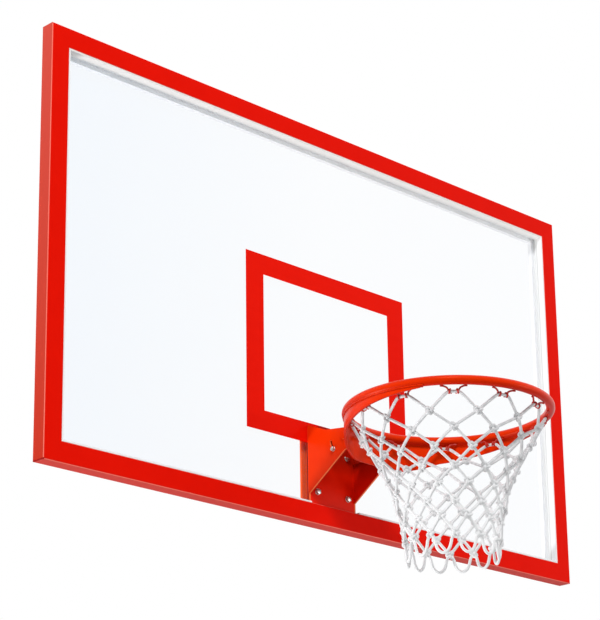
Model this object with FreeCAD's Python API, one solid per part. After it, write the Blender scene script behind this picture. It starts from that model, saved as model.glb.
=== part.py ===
import FreeCAD, Part
import math
import os

# Basketball backboard with a hinged goal. Lengths in mm, +Z up, the player stands at -Y.
# The origin is the centre of the frame's rear plane.

# Frame of mitred tube
BOARD_WIDTH = 1800.0
BOARD_HEIGHT = 1050.0
RAIL_WIDTH = 50.0
RAIL_DEPTH = 40.0
RAIL_WALL = 2.5
RAIL_EDGE_RADIUS = 3.0

# Pane, its lining and its painted square
PANE_SETBACK = 20.0
PANE_THICKNESS = 12.0
PANE_EDGE_GAP = 1.0
LINING_THICKNESS = 4.0
LINING_SETBACK = 1.0
LINING_NOTCH_GAP = 2.0
SQUARE_WIDTH = 558.0
SQUARE_HEIGHT = 455.0
SQUARE_SIDE_STRIP = 59.0
SQUARE_BAR_STRIP = 52.0
SQUARE_BASE_HEIGHT = 207.0
PAINT_THICKNESS = 0.3

# Retaining strips behind the pane
RETAINER_SEAT = 22.0
RETAINER_COVER = 12.0
RETAINER_SHEET = 3.0
RETAINER_GAP = 1.0
SCREW_RADIUS = 2.4
SCREW_LENGTH = 9.0
SCREW_HEAD_FLATS = 8.0
SCREW_HEAD_HEIGHT = 3.4
SCREW_CLEARANCE = 0.2
SCREW_END_INSET = 60.0
BAR_SCREW_COUNT = 4
POST_SCREW_COUNT = 2
FASTENER_SIDES = 8
DISC_SIDES = 16

# Threaded bushes in the frame's rear
MOUNT_SPACING = 900.0
BUSH_RADIUS = 11.0
BUSH_BORE_RADIUS = 5.1
BUSH_CLEARANCE = 0.1

# Bracket and the stack that clamps the pane
BRACKET_WIDTH = 160.0
BRACKET_SHEET = 6.0
BRACKET_TOP_HEIGHT = 249.0
BRACKET_BEND_RADIUS = 5.0
BRACKET_BASE_GAP = 2.0
PAD_THICKNESS = 2.0
FRONT_PAD_INSET = 4.0
REAR_PAD_INSET = 18.0
COUNTER_SHEET = 5.0
COUNTER_MARGIN = 4.0
COUNTER_BASE_GAP = 2.0
BOLT_SPACING = 105.0
BOLT_CENTRE_HEIGHT = 137.0
BOLT_RADIUS = 4.0
BOLT_CLEARANCE = 0.5
BOLT_HEAD_FLATS = 13.0
BOLT_HEAD_HEIGHT = 5.3
BOLT_NUT_HEIGHT = 6.8
BOLT_TIP = 3.0
WASHER_RADIUS = 8.0
WASHER_THICKNESS = 1.6
PANE_HOLE_CLEARANCE = 1.5

# Ring
RING_INNER_DIAMETER = 457.0
RING_ROD_DIAMETER = 22.0
RING_ROD_SIDES = 12
RING_HEIGHT = 208.0
RING_GAP = 166.5
WELD_GAP = 0.1

# Hinge and guide
HINGE_BEHIND_RING = 27.5
HINGE_DROP = 12.0
PIN_RADIUS = 6.0
PIN_RUNNING_CLEARANCE = 0.06
PIN_FIXED_CLEARANCE = 0.1
PIN_CAP_CLEARANCE = 0.3
PIN_HEAD_RADIUS = 9.5
PIN_HEAD_HEIGHT = 3.0
SPACER_THICKNESS = 2.0
SPACER_RADIUS = 12.0
EAR_RADIUS = 20.0
GUIDE_ARM = 44.0
GUIDE_REST_ANGLE = -38.0
TILT_LIMIT = 30.0
GUIDE_RADIUS = 3.0
GUIDE_SLOT_CLEARANCE = 0.5
GUIDE_HOLE_CLEARANCE = 0.1
GUIDE_NUT_CLEARANCE = 0.6
GUIDE_FLATS = 10.0
GUIDE_NUT_HEIGHT = 5.0
GUIDE_WASHER_RADIUS = 6.0
GUIDE_TIP = 1.5
GUIDE_LUG_RADIUS = 12.0

# Cheek outline
SHOULDER_REACH = 59.0
SHOULDER_DROP = 25.0
NOSE_RADIUS = 11.0
NOSE_FORWARD_SHARE = 0.1
NOSE_DROP = 25.0
CHEEK_FOOT_RISE = 25.0

# Carrier channel between the cheeks
ARM_SHEET = 5.0
ARM_TOP_RISE = 13.0
ARM_TAIL_RISE = 11.0
ARM_TAIL_GAP = 7.0
ARM_SHOULDER_REACH = 14.0
CHANNEL_TAIL_SHARE = 0.67
CHANNEL_FRONT_REACH = 70.0

# Return springs on the hinge pin
SPRING_WIRE_RADIUS = 3.0
SPRING_COIL_RADIUS = 12.0
SPRING_PITCH = 6.9
SPRING_TURNS = 4
SPRING_TURN_SIDES = 12
SPRING_SEAT_GAP = 0.3
SPRING_SIDE_GAP = 5.0
SPRING_LEG_ANGLE = 14.0
SPRING_LEG_GAP = 6.0
SPRING_TAIL_SHARE = 0.93
LEDGE_REACH = 20.0
LEDGE_SHEET = 6.0
LEDGE_SIDE_GAP = 6.0

# Brace band under the ring's rear: places behind the ring's centre, depths below it
BRACE_SHEET = 5.0
BRACE_INSET = 4.0
BRACE_SPLIT_SHARE = 0.36
BRACE_EDGE_SHARES = [
    (-0.47, 0.0),
    (-0.44, 0.06),
    (-0.2, 0.085),
    (0.1, 0.115),
    (0.42, 0.165),
    (0.72, 0.225),
    (0.92, 0.325),
    (1.1, 0.28),
    (1.1, 0.0),
]

# Net hooks of bent wire: along the ring, towards its axis, below its centre
HOOK_COUNT = 12
HOOK_WIRE_RADIUS = 1.8
HOOK_WIRE_SIDES = 6
HOOK_SEAT_GAP = 0.2
HOOK_HALF_SPREAD = 32.0
HOOK_SEAT_INSET = 7.0
HOOK_INSET = 13.0
HOOK_EYE_HALF_SPREAD = 8.0
HOOK_EYE_HALF_WIDTH = 4.5
HOOK_EYE_TOP = 19.0
HOOK_EYE_BOTTOM = 26.0
HOOK_KNEE_SHARE = 0.66
HOOK_KNEE_DROP = 2.0

# Net of knotted cord
CORD_THICKNESS = 5.0
KNOT_HALF_WIDTH = 6.0
KNOT_HALF_HEIGHT = 7.0
NET_SEAT_GAP = 0.3
NET_ROW_STEPS = [34.0, 32.0, 39.0, 37.0, 39.0, 37.0, 36.0, 40.0, 43.0]
NET_RADIUS_SHARES = [0.91, 0.856, 0.772, 0.689, 0.635, 0.585, 0.543, 0.52, 0.51]

AXIS_X = FreeCAD.Vector(1, 0, 0)
AXIS_Y = FreeCAD.Vector(0, 1, 0)
AXIS_Z = FreeCAD.Vector(0, 0, 1)
ORIGIN = FreeCAD.Vector(0, 0, 0)

# Levels that several pieces share
BASE_Z = -BOARD_HEIGHT / 2
OPENING_X = BOARD_WIDTH / 2 - RAIL_WIDTH
OPENING_Z = BOARD_HEIGHT / 2 - RAIL_WIDTH
FRONT_Y = -RAIL_DEPTH
PANE_FRONT_Y = FRONT_Y + PANE_SETBACK
PANE_REAR_Y = PANE_FRONT_Y + PANE_THICKNESS
PLATE_REAR_Y = PANE_FRONT_Y - PAINT_THICKNESS - PAD_THICKNESS
PLATE_FRONT_Y = PLATE_REAR_Y - BRACKET_SHEET
COUNTER_FRONT_Y = PANE_REAR_Y + PAD_THICKNESS
COUNTER_REAR_Y = COUNTER_FRONT_Y + COUNTER_SHEET
PLATE_BASE_Z = BASE_Z + RAIL_WIDTH + BRACKET_BASE_GAP
PLATE_TOP_Z = BASE_Z + BRACKET_TOP_HEIGHT
COUNTER_BASE_Z = BASE_Z + RAIL_WIDTH + RETAINER_COVER + COUNTER_BASE_GAP
BOLT_HOLE_RADIUS = BOLT_RADIUS + BOLT_CLEARANCE
ROD_RADIUS = RING_ROD_DIAMETER / 2
RING_RADIUS = RING_INNER_DIAMETER / 2 + ROD_RADIUS
RING_OUTER = RING_RADIUS + ROD_RADIUS
RING_Z = BASE_Z + RING_HEIGHT
RING_Y = PANE_FRONT_Y - RING_GAP - RING_INNER_DIAMETER / 2
HINGE_Y = RING_Y + RING_RADIUS + HINGE_BEHIND_RING
HINGE_Z = RING_Z - HINGE_DROP
CHEEK_X = BRACKET_WIDTH / 2
CHEEK_INNER_X = CHEEK_X - BRACKET_SHEET
ARM_X = CHEEK_INNER_X - SPACER_THICKNESS
ARM_INNER_X = ARM_X - ARM_SHEET
COIL_OUTER = SPRING_COIL_RADIUS + SPRING_WIRE_RADIUS
CHANNEL_TOP_Z = HINGE_Z - COIL_OUTER - SPRING_SEAT_GAP
CHANNEL_BASE_Z = CHANNEL_TOP_Z - ARM_SHEET
BRACE_OUTER = RING_OUTER - BRACE_INSET
BRACE_INNER = BRACE_OUTER - BRACE_SHEET
BRACE_SPLIT_X = RING_OUTER * BRACE_SPLIT_SHARE
REACH = BOARD_WIDTH


def vec(x, y, z):
    return FreeCAD.Vector(x, y, z)


def block(x0, x1, y0, y1, z0, z1):
    return Part.makeBox(x1 - x0, y1 - y0, z1 - z0, vec(x0, y0, z0))


def rod_x(radius, x0, x1, y, z):
    return Part.makeCylinder(radius, x1 - x0, vec(x0, y, z), AXIS_X)


def rod_y(radius, y0, y1, x, z):
    return Part.makeCylinder(radius, y1 - y0, vec(x, y0, z), AXIS_Y)


def facets(radius, sides):
    turns = [math.radians(360 * (i + 1 / 2) / sides) for i in range(sides)]
    return [(radius * math.cos(t), radius * math.sin(t)) for t in turns]


def polygon(points):
    return Part.Face(Part.makePolygon(points + points[:1]))


def prism_x(outline, x0, x1):
    return polygon([vec(x0, y, z) for y, z in outline]).extrude(AXIS_X * (x1 - x0))


def prism_y(outline, y0, y1):
    return polygon([vec(x, y0, z) for x, z in outline]).extrude(AXIS_Y * (y1 - y0))


def closed_solid(faces):
    shell = Part.makeShell(faces)
    shell.sewShape()
    solid = Part.makeSolid(Part.makeShell(shell.Faces))
    if solid.Volume < 0:
        solid.reverse()
    return solid


def hex_x(flats, x0, x1, y, z):
    return prism_x([(y + a, z + b) for a, b in facets(flats / math.sqrt(3), 6)], x0, x1)


def hex_y(flats, y0, y1, x, z):
    return prism_y([(x + a, z + b) for a, b in facets(flats / math.sqrt(3), 6)], y0, y1)


def shank_x(radius, x0, x1, y, z):
    return prism_x([(y + a, z + b) for a, b in facets(radius, FASTENER_SIDES)], x0, x1)


def shank_y(radius, y0, y1, x, z):
    return prism_y([(x + a, z + b) for a, b in facets(radius, FASTENER_SIDES)], y0, y1)


def disc_x(radius, x0, x1, y, z):
    return prism_x([(y + a, z + b) for a, b in facets(radius, DISC_SIDES)], x0, x1)


def disc_y(radius, y0, y1, x, z):
    return prism_y([(x + a, z + b) for a, b in facets(radius, DISC_SIDES)], y0, y1)


def mirror_x(shape):
    return shape.mirror(ORIGIN, AXIS_X)


def mirror_z(shape):
    return shape.mirror(ORIGIN, AXIS_Z)


def save(name, shape):
    os.makedirs("parts", exist_ok=True)
    shape.exportStep("parts/" + name + ".step")


def mitred_bar(half_x, half_z, thickness):
    return [
        (-half_x, half_z),
        (half_x, half_z),
        (half_x - thickness, half_z - thickness),
        (-half_x + thickness, half_z - thickness),
    ]


def mitred_post(half_x, half_z, thickness):
    return [
        (half_x, half_z),
        (half_x, -half_z),
        (half_x - thickness, -half_z + thickness),
        (half_x - thickness, half_z - thickness),
    ]


# Places of the repeated fasteners
def spread(count, half_span):
    return [half_span * (2 * i / (count - 1) - 1) for i in range(count)]


def bar_screw_places():
    z = OPENING_Z + RETAINER_SEAT / 2
    return [(x, z) for x in spread(BAR_SCREW_COUNT, OPENING_X - SCREW_END_INSET)]


def post_screw_places():
    x = OPENING_X + RETAINER_SEAT / 2
    return [(x, z) for z in spread(POST_SCREW_COUNT, OPENING_Z - SCREW_END_INSET)]


def mount_places():
    z = BOARD_HEIGHT / 2 - RAIL_WIDTH / 2
    x = MOUNT_SPACING / 2
    return [(-x, z), (x, z)]


def bolt_places():
    half = BOLT_SPACING / 2
    z = BASE_Z + BOLT_CENTRE_HEIGHT
    return [(x, z + s) for x in (-half, half) for s in (-half, half)]


def rounded_tube(outline, hollow, along):
    tube = prism_y(outline, FRONT_Y, 0)
    edges = []
    for edge in tube.Edges:
        run = edge.Vertexes[1].Point - edge.Vertexes[0].Point
        if run.getAngle(along) < math.radians(1) or run.getAngle(-along) < math.radians(1):
            edges.append(edge)
    tube = tube.makeFillet(RAIL_EDGE_RADIUS, edges)
    return tube.cut(prism_y(hollow, FRONT_Y + RAIL_WALL, -RAIL_WALL))


def top_rail():
    half_x = BOARD_WIDTH / 2
    half_z = BOARD_HEIGHT / 2
    hollow = mitred_bar(half_x - RAIL_WALL, half_z - RAIL_WALL, RAIL_WIDTH - 2 * RAIL_WALL)
    tube = rounded_tube(mitred_bar(half_x, half_z, RAIL_WIDTH), hollow, AXIS_X)
    radius = SCREW_RADIUS + SCREW_CLEARANCE
    holes = [shank_y(radius, -RAIL_WALL * 2, RAIL_WALL, x, z) for x, z in bar_screw_places()]
    seat = BUSH_RADIUS + BUSH_CLEARANCE
    holes += [shank_y(seat, -RAIL_WALL * 2, RAIL_WALL, x, z) for x, z in mount_places()]
    return tube.cut(holes)


def right_rail():
    half_x = BOARD_WIDTH / 2
    half_z = BOARD_HEIGHT / 2
    hollow = mitred_post(half_x - RAIL_WALL, half_z - RAIL_WALL, RAIL_WIDTH - 2 * RAIL_WALL)
    tube = rounded_tube(mitred_post(half_x, half_z, RAIL_WIDTH), hollow, AXIS_Z)
    radius = SCREW_RADIUS + SCREW_CLEARANCE
    holes = [shank_y(radius, -RAIL_WALL * 2, RAIL_WALL, x, z) for x, z in post_screw_places()]
    return tube.cut(holes)


def top_lining():
    outline = mitred_bar(OPENING_X, OPENING_Z, LINING_THICKNESS)
    return prism_y(outline, FRONT_Y + LINING_SETBACK, PANE_FRONT_Y)


def bottom_lining():
    half = CHEEK_X + LINING_NOTCH_GAP
    notch = block(-half, half, FRONT_Y, 0, -OPENING_Z, -OPENING_Z + LINING_THICKNESS)
    return mirror_z(top_lining()).cut(notch)


def right_lining():
    outline = mitred_post(OPENING_X, OPENING_Z, LINING_THICKNESS)
    return prism_y(outline, FRONT_Y + LINING_SETBACK, PANE_FRONT_Y)


def pane():
    half_x = OPENING_X - PANE_EDGE_GAP
    half_z = OPENING_Z - PANE_EDGE_GAP
    sheet = block(-half_x, half_x, PANE_FRONT_Y, PANE_REAR_Y, -half_z, half_z)
    radius = BOLT_RADIUS + PANE_HOLE_CLEARANCE
    return sheet.cut([shank_y(radius, FRONT_Y, 0, x, z) for x, z in bolt_places()])


def target_square():
    half = SQUARE_WIDTH / 2
    z0 = BASE_Z + SQUARE_BASE_HEIGHT
    z1 = z0 + SQUARE_HEIGHT
    y0 = PANE_FRONT_Y - PAINT_THICKNESS
    outer = block(-half, half, y0, PANE_FRONT_Y, z0, z1)
    inner_half = half - SQUARE_SIDE_STRIP
    inner_z0 = z0 + SQUARE_BAR_STRIP
    inner_z1 = z1 - SQUARE_BAR_STRIP
    return outer.cut(block(-inner_half, inner_half, FRONT_Y, 0, inner_z0, inner_z1))


def retainer_holes(places):
    radius = SCREW_RADIUS + SCREW_CLEARANCE
    return [shank_y(radius, FRONT_Y, RAIL_DEPTH, x, z) for x, z in places]


def top_retainer():
    end = OPENING_X + RETAINER_SEAT
    lip_end = OPENING_X - RETAINER_GAP
    base = OPENING_Z - RETAINER_COVER
    plate = block(-end, end, 0, RETAINER_SHEET, base, OPENING_Z + RETAINER_SEAT)
    lip = block(-lip_end, lip_end, PANE_REAR_Y, 0, base, OPENING_Z - RETAINER_GAP)
    return plate.fuse(lip).removeSplitter().cut(retainer_holes(bar_screw_places()))


def right_retainer():
    end = OPENING_Z - RETAINER_COVER
    base = OPENING_X - RETAINER_COVER
    plate = block(base, OPENING_X + RETAINER_SEAT, 0, RETAINER_SHEET, -end, end)
    lip = block(base, OPENING_X - RETAINER_GAP, PANE_REAR_Y, 0, -end, end)
    return plate.fuse(lip).removeSplitter().cut(retainer_holes(post_screw_places()))


def retainer_screw(x, z):
    head_top = RETAINER_SHEET + SCREW_HEAD_HEIGHT
    shank = shank_y(SCREW_RADIUS, RETAINER_SHEET - SCREW_LENGTH, RETAINER_SHEET, x, z)
    head = hex_y(SCREW_HEAD_FLATS, RETAINER_SHEET, head_top, x, z)
    return shank.fuse(head)


def retainer_screws():
    bar = [retainer_screw(x, z) for x, z in bar_screw_places()]
    post = [retainer_screw(x, z) for x, z in post_screw_places()]
    return Part.makeCompound(bar + [mirror_z(s) for s in bar] + post + [mirror_x(s) for s in post])


def mount_bush(x, z):
    body = shank_y(BUSH_RADIUS, FRONT_Y + RAIL_WALL, 0, x, z)
    return body.cut(rod_y(BUSH_BORE_RADIUS, FRONT_Y, RAIL_DEPTH, x, z))


def mount_bushes():
    upper = [mount_bush(x, z) for x, z in mount_places()]
    return Part.makeCompound(upper + [mirror_z(b) for b in upper])


# Bracket
def bolt_holes(y0, y1):
    return [shank_y(BOLT_HOLE_RADIUS, y0, y1, x, z) for x, z in bolt_places()]


def guide_point(angle):
    turn = math.radians(angle)
    return HINGE_Y + GUIDE_ARM * math.cos(turn), HINGE_Z + GUIDE_ARM * math.sin(turn)


def arc_edge(radius, start, end):
    points = []
    for angle in (start, (start + end) / 2, end):
        turn = math.radians(angle)
        points.append(vec(0, HINGE_Y + radius * math.cos(turn), HINGE_Z + radius * math.sin(turn)))
    return Part.Arc(*points).toShape()


def guide_slot():
    half = GUIDE_RADIUS + GUIDE_SLOT_CLEARANCE
    start = GUIDE_REST_ANGLE
    end = GUIDE_REST_ANGLE + TILT_LIMIT
    outer = arc_edge(GUIDE_ARM + half, start, end)
    inner = arc_edge(GUIDE_ARM - half, start, end)
    sides = []
    for a, b in zip(outer.Vertexes, inner.Vertexes):
        sides.append(Part.makeLine(a.Point, b.Point))
    wire = Part.Wire(Part.__sortEdges__([outer, sides[0], inner, sides[1]]))
    slot = Part.Face(wire).extrude(AXIS_X * CHEEK_X)
    ends = [rod_x(half, 0, CHEEK_X, *guide_point(a)) for a in (start, end)]
    slot = slot.fuse(ends)
    slot.translate(AXIS_X * (CHEEK_X / 2))
    return slot


def cheek():
    nose_y = HINGE_Y - EAR_RADIUS * NOSE_FORWARD_SHARE
    nose_z = HINGE_Z - NOSE_DROP
    outline = [
        (PLATE_REAR_Y, PLATE_TOP_Z),
        (PLATE_FRONT_Y, PLATE_TOP_Z),
        (PLATE_FRONT_Y - SHOULDER_REACH, PLATE_TOP_Z - SHOULDER_DROP),
        (HINGE_Y, HINGE_Z + EAR_RADIUS),
        (HINGE_Y - EAR_RADIUS, HINGE_Z),
        (nose_y - NOSE_RADIUS, nose_z),
        (nose_y, nose_z - NOSE_RADIUS),
        (PLATE_FRONT_Y, PLATE_BASE_Z + CHEEK_FOOT_RISE),
        (PLATE_FRONT_Y, PLATE_BASE_Z),
        (PLATE_REAR_Y, PLATE_BASE_Z),
    ]
    sheet = prism_x(outline, CHEEK_INNER_X, CHEEK_X)
    ear = rod_x(EAR_RADIUS, CHEEK_INNER_X, CHEEK_X, HINGE_Y, HINGE_Z)
    nose = rod_x(NOSE_RADIUS, CHEEK_INNER_X, CHEEK_X, nose_y, nose_z)
    sheet = sheet.fuse([ear, nose]).removeSplitter()
    pin_hole = rod_x(PIN_RADIUS + PIN_FIXED_CLEARANCE, 0, BRACKET_WIDTH, HINGE_Y, HINGE_Z)
    return sheet.cut([guide_slot(), pin_hole])


def bracket():
    plate = block(-CHEEK_X, CHEEK_X, PLATE_FRONT_Y, PLATE_REAR_Y, PLATE_BASE_Z, PLATE_TOP_Z)
    plate = plate.cut(bolt_holes(FRONT_Y, PANE_FRONT_Y))
    side = cheek()
    shell = plate.fuse([side, mirror_x(side)]).removeSplitter()
    bends = []
    for edge in shell.Edges:
        box = edge.BoundBox
        outside = abs(abs(box.Center.x) - CHEEK_X) < PIN_RUNNING_CLEARANCE
        rear = abs(box.Center.y - PLATE_REAR_Y) < PIN_RUNNING_CLEARANCE
        if outside and rear and box.ZLength > BOLT_SPACING:
            bends.append(edge)
    return shell.makeFillet(BRACKET_BEND_RADIUS, bends)


def front_pad():
    half = CHEEK_X - FRONT_PAD_INSET
    z0 = PLATE_BASE_Z + FRONT_PAD_INSET
    z1 = PLATE_TOP_Z - FRONT_PAD_INSET
    pad = block(-half, half, PLATE_REAR_Y, PLATE_REAR_Y + PAD_THICKNESS, z0, z1)
    return pad.cut(bolt_holes(FRONT_Y, 0))


def counter_plate():
    half = CHEEK_X + COUNTER_MARGIN
    plate = block(-half, half, COUNTER_FRONT_Y, COUNTER_REAR_Y, COUNTER_BASE_Z, PLATE_TOP_Z)
    return plate.cut(bolt_holes(FRONT_Y, RAIL_DEPTH))


def rear_pad():
    half = CHEEK_X + COUNTER_MARGIN - REAR_PAD_INSET
    z0 = COUNTER_BASE_Z + FRONT_PAD_INSET
    z1 = PLATE_TOP_Z - REAR_PAD_INSET
    pad = block(-half, half, PANE_REAR_Y, COUNTER_FRONT_Y, z0, z1)
    return pad.cut(bolt_holes(FRONT_Y, RAIL_DEPTH))


def bracket_bolt(x, z):
    seat = PLATE_FRONT_Y - WASHER_THICKNESS
    tip = COUNTER_REAR_Y + BOLT_NUT_HEIGHT + BOLT_TIP
    head = hex_y(BOLT_HEAD_FLATS, seat - BOLT_HEAD_HEIGHT, seat, x, z)
    return head.fuse(shank_y(BOLT_RADIUS, seat, tip, x, z))


def ring_washer_y(y, x, z):
    disc = disc_y(WASHER_RADIUS, y, y + WASHER_THICKNESS, x, z)
    return disc.cut(shank_y(BOLT_HOLE_RADIUS, FRONT_Y, RAIL_DEPTH, x, z))


def bracket_nut(x, z):
    nut = hex_y(BOLT_HEAD_FLATS, COUNTER_REAR_Y, COUNTER_REAR_Y + BOLT_NUT_HEIGHT, x, z)
    return nut.cut(shank_y(BOLT_RADIUS + SCREW_CLEARANCE, FRONT_Y, RAIL_DEPTH, x, z))


def bracket_bolts():
    return Part.makeCompound([bracket_bolt(x, z) for x, z in bolt_places()])


def bracket_washers():
    y = PLATE_FRONT_Y - WASHER_THICKNESS
    return Part.makeCompound([ring_washer_y(y, x, z) for x, z in bolt_places()])


def bracket_nuts():
    return Part.makeCompound([bracket_nut(x, z) for x, z in bolt_places()])


# Hinge
def hinge_pin():
    head = rod_x(PIN_HEAD_RADIUS, -CHEEK_X - PIN_HEAD_HEIGHT, -CHEEK_X, HINGE_Y, HINGE_Z)
    shank = rod_x(PIN_RADIUS, -CHEEK_X, CHEEK_X + PIN_HEAD_HEIGHT, HINGE_Y, HINGE_Z)
    return head.fuse(shank)


def pin_cap():
    cap = disc_x(PIN_HEAD_RADIUS, CHEEK_X, CHEEK_X + PIN_HEAD_HEIGHT, HINGE_Y, HINGE_Z)
    return cap.cut(disc_x(PIN_RADIUS + PIN_CAP_CLEARANCE, 0, BRACKET_WIDTH, HINGE_Y, HINGE_Z))


def hinge_spacers():
    disc = shank_x(SPACER_RADIUS, ARM_X, CHEEK_INNER_X, HINGE_Y, HINGE_Z)
    disc = disc.cut(rod_x(PIN_RADIUS + PIN_FIXED_CLEARANCE, 0, BRACKET_WIDTH, HINGE_Y, HINGE_Z))
    return Part.makeCompound([disc, mirror_x(disc)])


def guide_studs():
    y, z = guide_point(GUIDE_REST_ANGLE)
    tip = CHEEK_X + WASHER_THICKNESS + GUIDE_NUT_HEIGHT + GUIDE_TIP
    stud = disc_x(GUIDE_RADIUS, ARM_INNER_X, tip, y, z)
    return Part.makeCompound([stud, mirror_x(stud)])


def guide_washers():
    y, z = guide_point(GUIDE_REST_ANGLE)
    disc = disc_x(GUIDE_WASHER_RADIUS, CHEEK_X, CHEEK_X + WASHER_THICKNESS, y, z)
    disc = disc.cut(shank_x(GUIDE_RADIUS + GUIDE_NUT_CLEARANCE, 0, BRACKET_WIDTH, y, z))
    return Part.makeCompound([disc, mirror_x(disc)])


def guide_nuts():
    y, z = guide_point(GUIDE_REST_ANGLE)
    seat = CHEEK_X + WASHER_THICKNESS
    nut = hex_x(GUIDE_FLATS, seat, seat + GUIDE_NUT_HEIGHT, y, z)
    nut = nut.cut(shank_x(GUIDE_RADIUS + GUIDE_NUT_CLEARANCE, 0, BRACKET_WIDTH, y, z))
    return Part.makeCompound([nut, mirror_x(nut)])


# Return springs: torsion coils round the pin, one leg on the channel, one under the ledge
def spring_leg_length():
    run = PLATE_FRONT_Y - SPRING_LEG_GAP - HINGE_Y
    turn = math.radians(SPRING_LEG_ANGLE)
    return (run + SPRING_COIL_RADIUS * math.sin(turn)) / math.cos(turn)


def channel_tail_y():
    return HINGE_Y + (PLATE_FRONT_Y - HINGE_Y) * CHANNEL_TAIL_SHARE


def coil_point(turn, x):
    y = HINGE_Y + SPRING_COIL_RADIUS * math.cos(turn)
    return vec(x, y, HINGE_Z + SPRING_COIL_RADIUS * math.sin(turn))


def spring_section(centre, turn, half_radial):
    out = vec(0, math.cos(turn), math.sin(turn)) * half_radial
    side = AXIS_X * SPRING_WIRE_RADIUS
    return [centre - side - out, centre + side - out, centre + side + out, centre - side + out]


def spring_sections():
    turn = -math.pi / 2
    last = math.pi / 2 + math.radians(SPRING_LEG_ANGLE) - 2 * math.pi * SPRING_TURNS
    steps = round((turn - last) * SPRING_TURN_SIDES / (2 * math.pi))
    step = (last - turn) / steps
    advance = -SPRING_PITCH * abs(step) / (2 * math.pi)
    x = ARM_INNER_X - SPRING_SIDE_GAP - SPRING_WIRE_RADIUS
    tail = HINGE_Y + (channel_tail_y() - HINGE_Y) * SPRING_TAIL_SHARE
    coil = [coil_point(turn + step * k, x + advance * k) for k in range(steps + 1)]
    leg = vec(0, math.sin(last), -math.cos(last)) * spring_leg_length()
    half = SPRING_WIRE_RADIUS
    sections = [spring_section(vec(x, tail, coil[0].z), turn, half)]
    sections += [spring_section(coil[k], turn + step * k, half) for k in range(steps + 1)]
    sections.append(spring_section(coil[-1] + leg, last, half))
    print("return spring: gap between turns", round(SPRING_PITCH - 2 * SPRING_WIRE_RADIUS, 2), "mm")
    return sections


def return_springs():
    sections = spring_sections()
    faces = [polygon(sections[0]), polygon(sections[-1])]
    for a, b in zip(sections, sections[1:]):
        for i in range(4):
            k = (i + 1) % 4
            faces.append(polygon([a[i], a[k], b[k]]))
            faces.append(polygon([a[i], b[k], b[i]]))
    spring = closed_solid(faces)
    return Part.makeCompound([spring, mirror_x(spring)])


def spring_ledge():
    turn = math.radians(SPRING_LEG_ANGLE)
    tip = SPRING_COIL_RADIUS * math.cos(turn) + spring_leg_length() * math.sin(turn)
    z0 = HINGE_Z + tip + SPRING_WIRE_RADIUS / math.cos(turn) + SPRING_SEAT_GAP
    half = ARM_INNER_X - LEDGE_SIDE_GAP
    return block(-half, half, PLATE_FRONT_Y - LEDGE_REACH, PLATE_FRONT_Y, z0, z0 + LEDGE_SHEET)


# Moving goal
def ring_torus(rod_radius):
    return Part.makeTorus(RING_RADIUS, rod_radius, vec(0, RING_Y, RING_Z), AXIS_Z)


def ring_drum(radius):
    return Part.makeCylinder(radius, REACH, vec(0, RING_Y, RING_Z - REACH / 2), AXIS_Z)


def ring():
    rod = facets(ROD_RADIUS, RING_ROD_SIDES)
    section = polygon([vec(RING_RADIUS + a, RING_Y, RING_Z + b) for a, b in rod])
    return section.revolve(vec(0, RING_Y, 0), AXIS_Z, 360)


def weld_cutters():
    return [ring_torus(ROD_RADIUS + WELD_GAP), ring_drum(BRACE_OUTER + WELD_GAP)]


def carrier_arm():
    tail_y = PLATE_FRONT_Y - ARM_TAIL_GAP
    front_y = HINGE_Y - CHANNEL_FRONT_REACH
    y, z = guide_point(GUIDE_REST_ANGLE)
    outline = [
        (front_y, CHANNEL_BASE_Z),
        (tail_y, CHANNEL_BASE_Z),
        (tail_y, CHANNEL_BASE_Z + ARM_TAIL_RISE),
        (HINGE_Y + ARM_SHOULDER_REACH, HINGE_Z + ARM_TOP_RISE),
        (front_y, HINGE_Z + ARM_TOP_RISE),
    ]
    arm = prism_x(outline, ARM_INNER_X, ARM_X)
    lug = rod_x(GUIDE_LUG_RADIUS, ARM_INNER_X, ARM_X, y, z)
    arm = arm.fuse(lug).removeSplitter()
    pin_hole = rod_x(PIN_RADIUS + PIN_RUNNING_CLEARANCE, 0, BRACKET_WIDTH, HINGE_Y, HINGE_Z)
    guide_hole = rod_x(GUIDE_RADIUS + GUIDE_HOLE_CLEARANCE, 0, BRACKET_WIDTH, y, z)
    return arm.cut([pin_hole, guide_hole])


def carrier():
    arm = carrier_arm()
    front_y = HINGE_Y - CHANNEL_FRONT_REACH
    floor = block(-ARM_X, ARM_X, front_y, channel_tail_y(), CHANNEL_BASE_Z, CHANNEL_TOP_Z)
    channel = floor.fuse([arm, mirror_x(arm)]).removeSplitter()
    return channel.cut(weld_cutters())


def brace_band(x0, x1):
    edge = [(RING_Y + RING_OUTER * y, RING_Z - RING_OUTER * d) for y, d in BRACE_EDGE_SHARES]
    band = ring_drum(BRACE_OUTER).cut(ring_drum(BRACE_INNER))
    band = band.common(prism_x(edge, x0, x1))
    return band.cut(ring_torus(ROD_RADIUS + WELD_GAP))


def skirt():
    return brace_band(-BRACE_SPLIT_X, BRACE_SPLIT_X)


def right_wing():
    return brace_band(BRACE_SPLIT_X + WELD_GAP, RING_OUTER)


# Net hooks
def ring_place(angle, along, inset, drop):
    radius = RING_RADIUS - inset
    turn = math.radians(angle) + along / RING_RADIUS
    return vec(radius * math.cos(turn), RING_Y + radius * math.sin(turn), RING_Z - drop)


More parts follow.
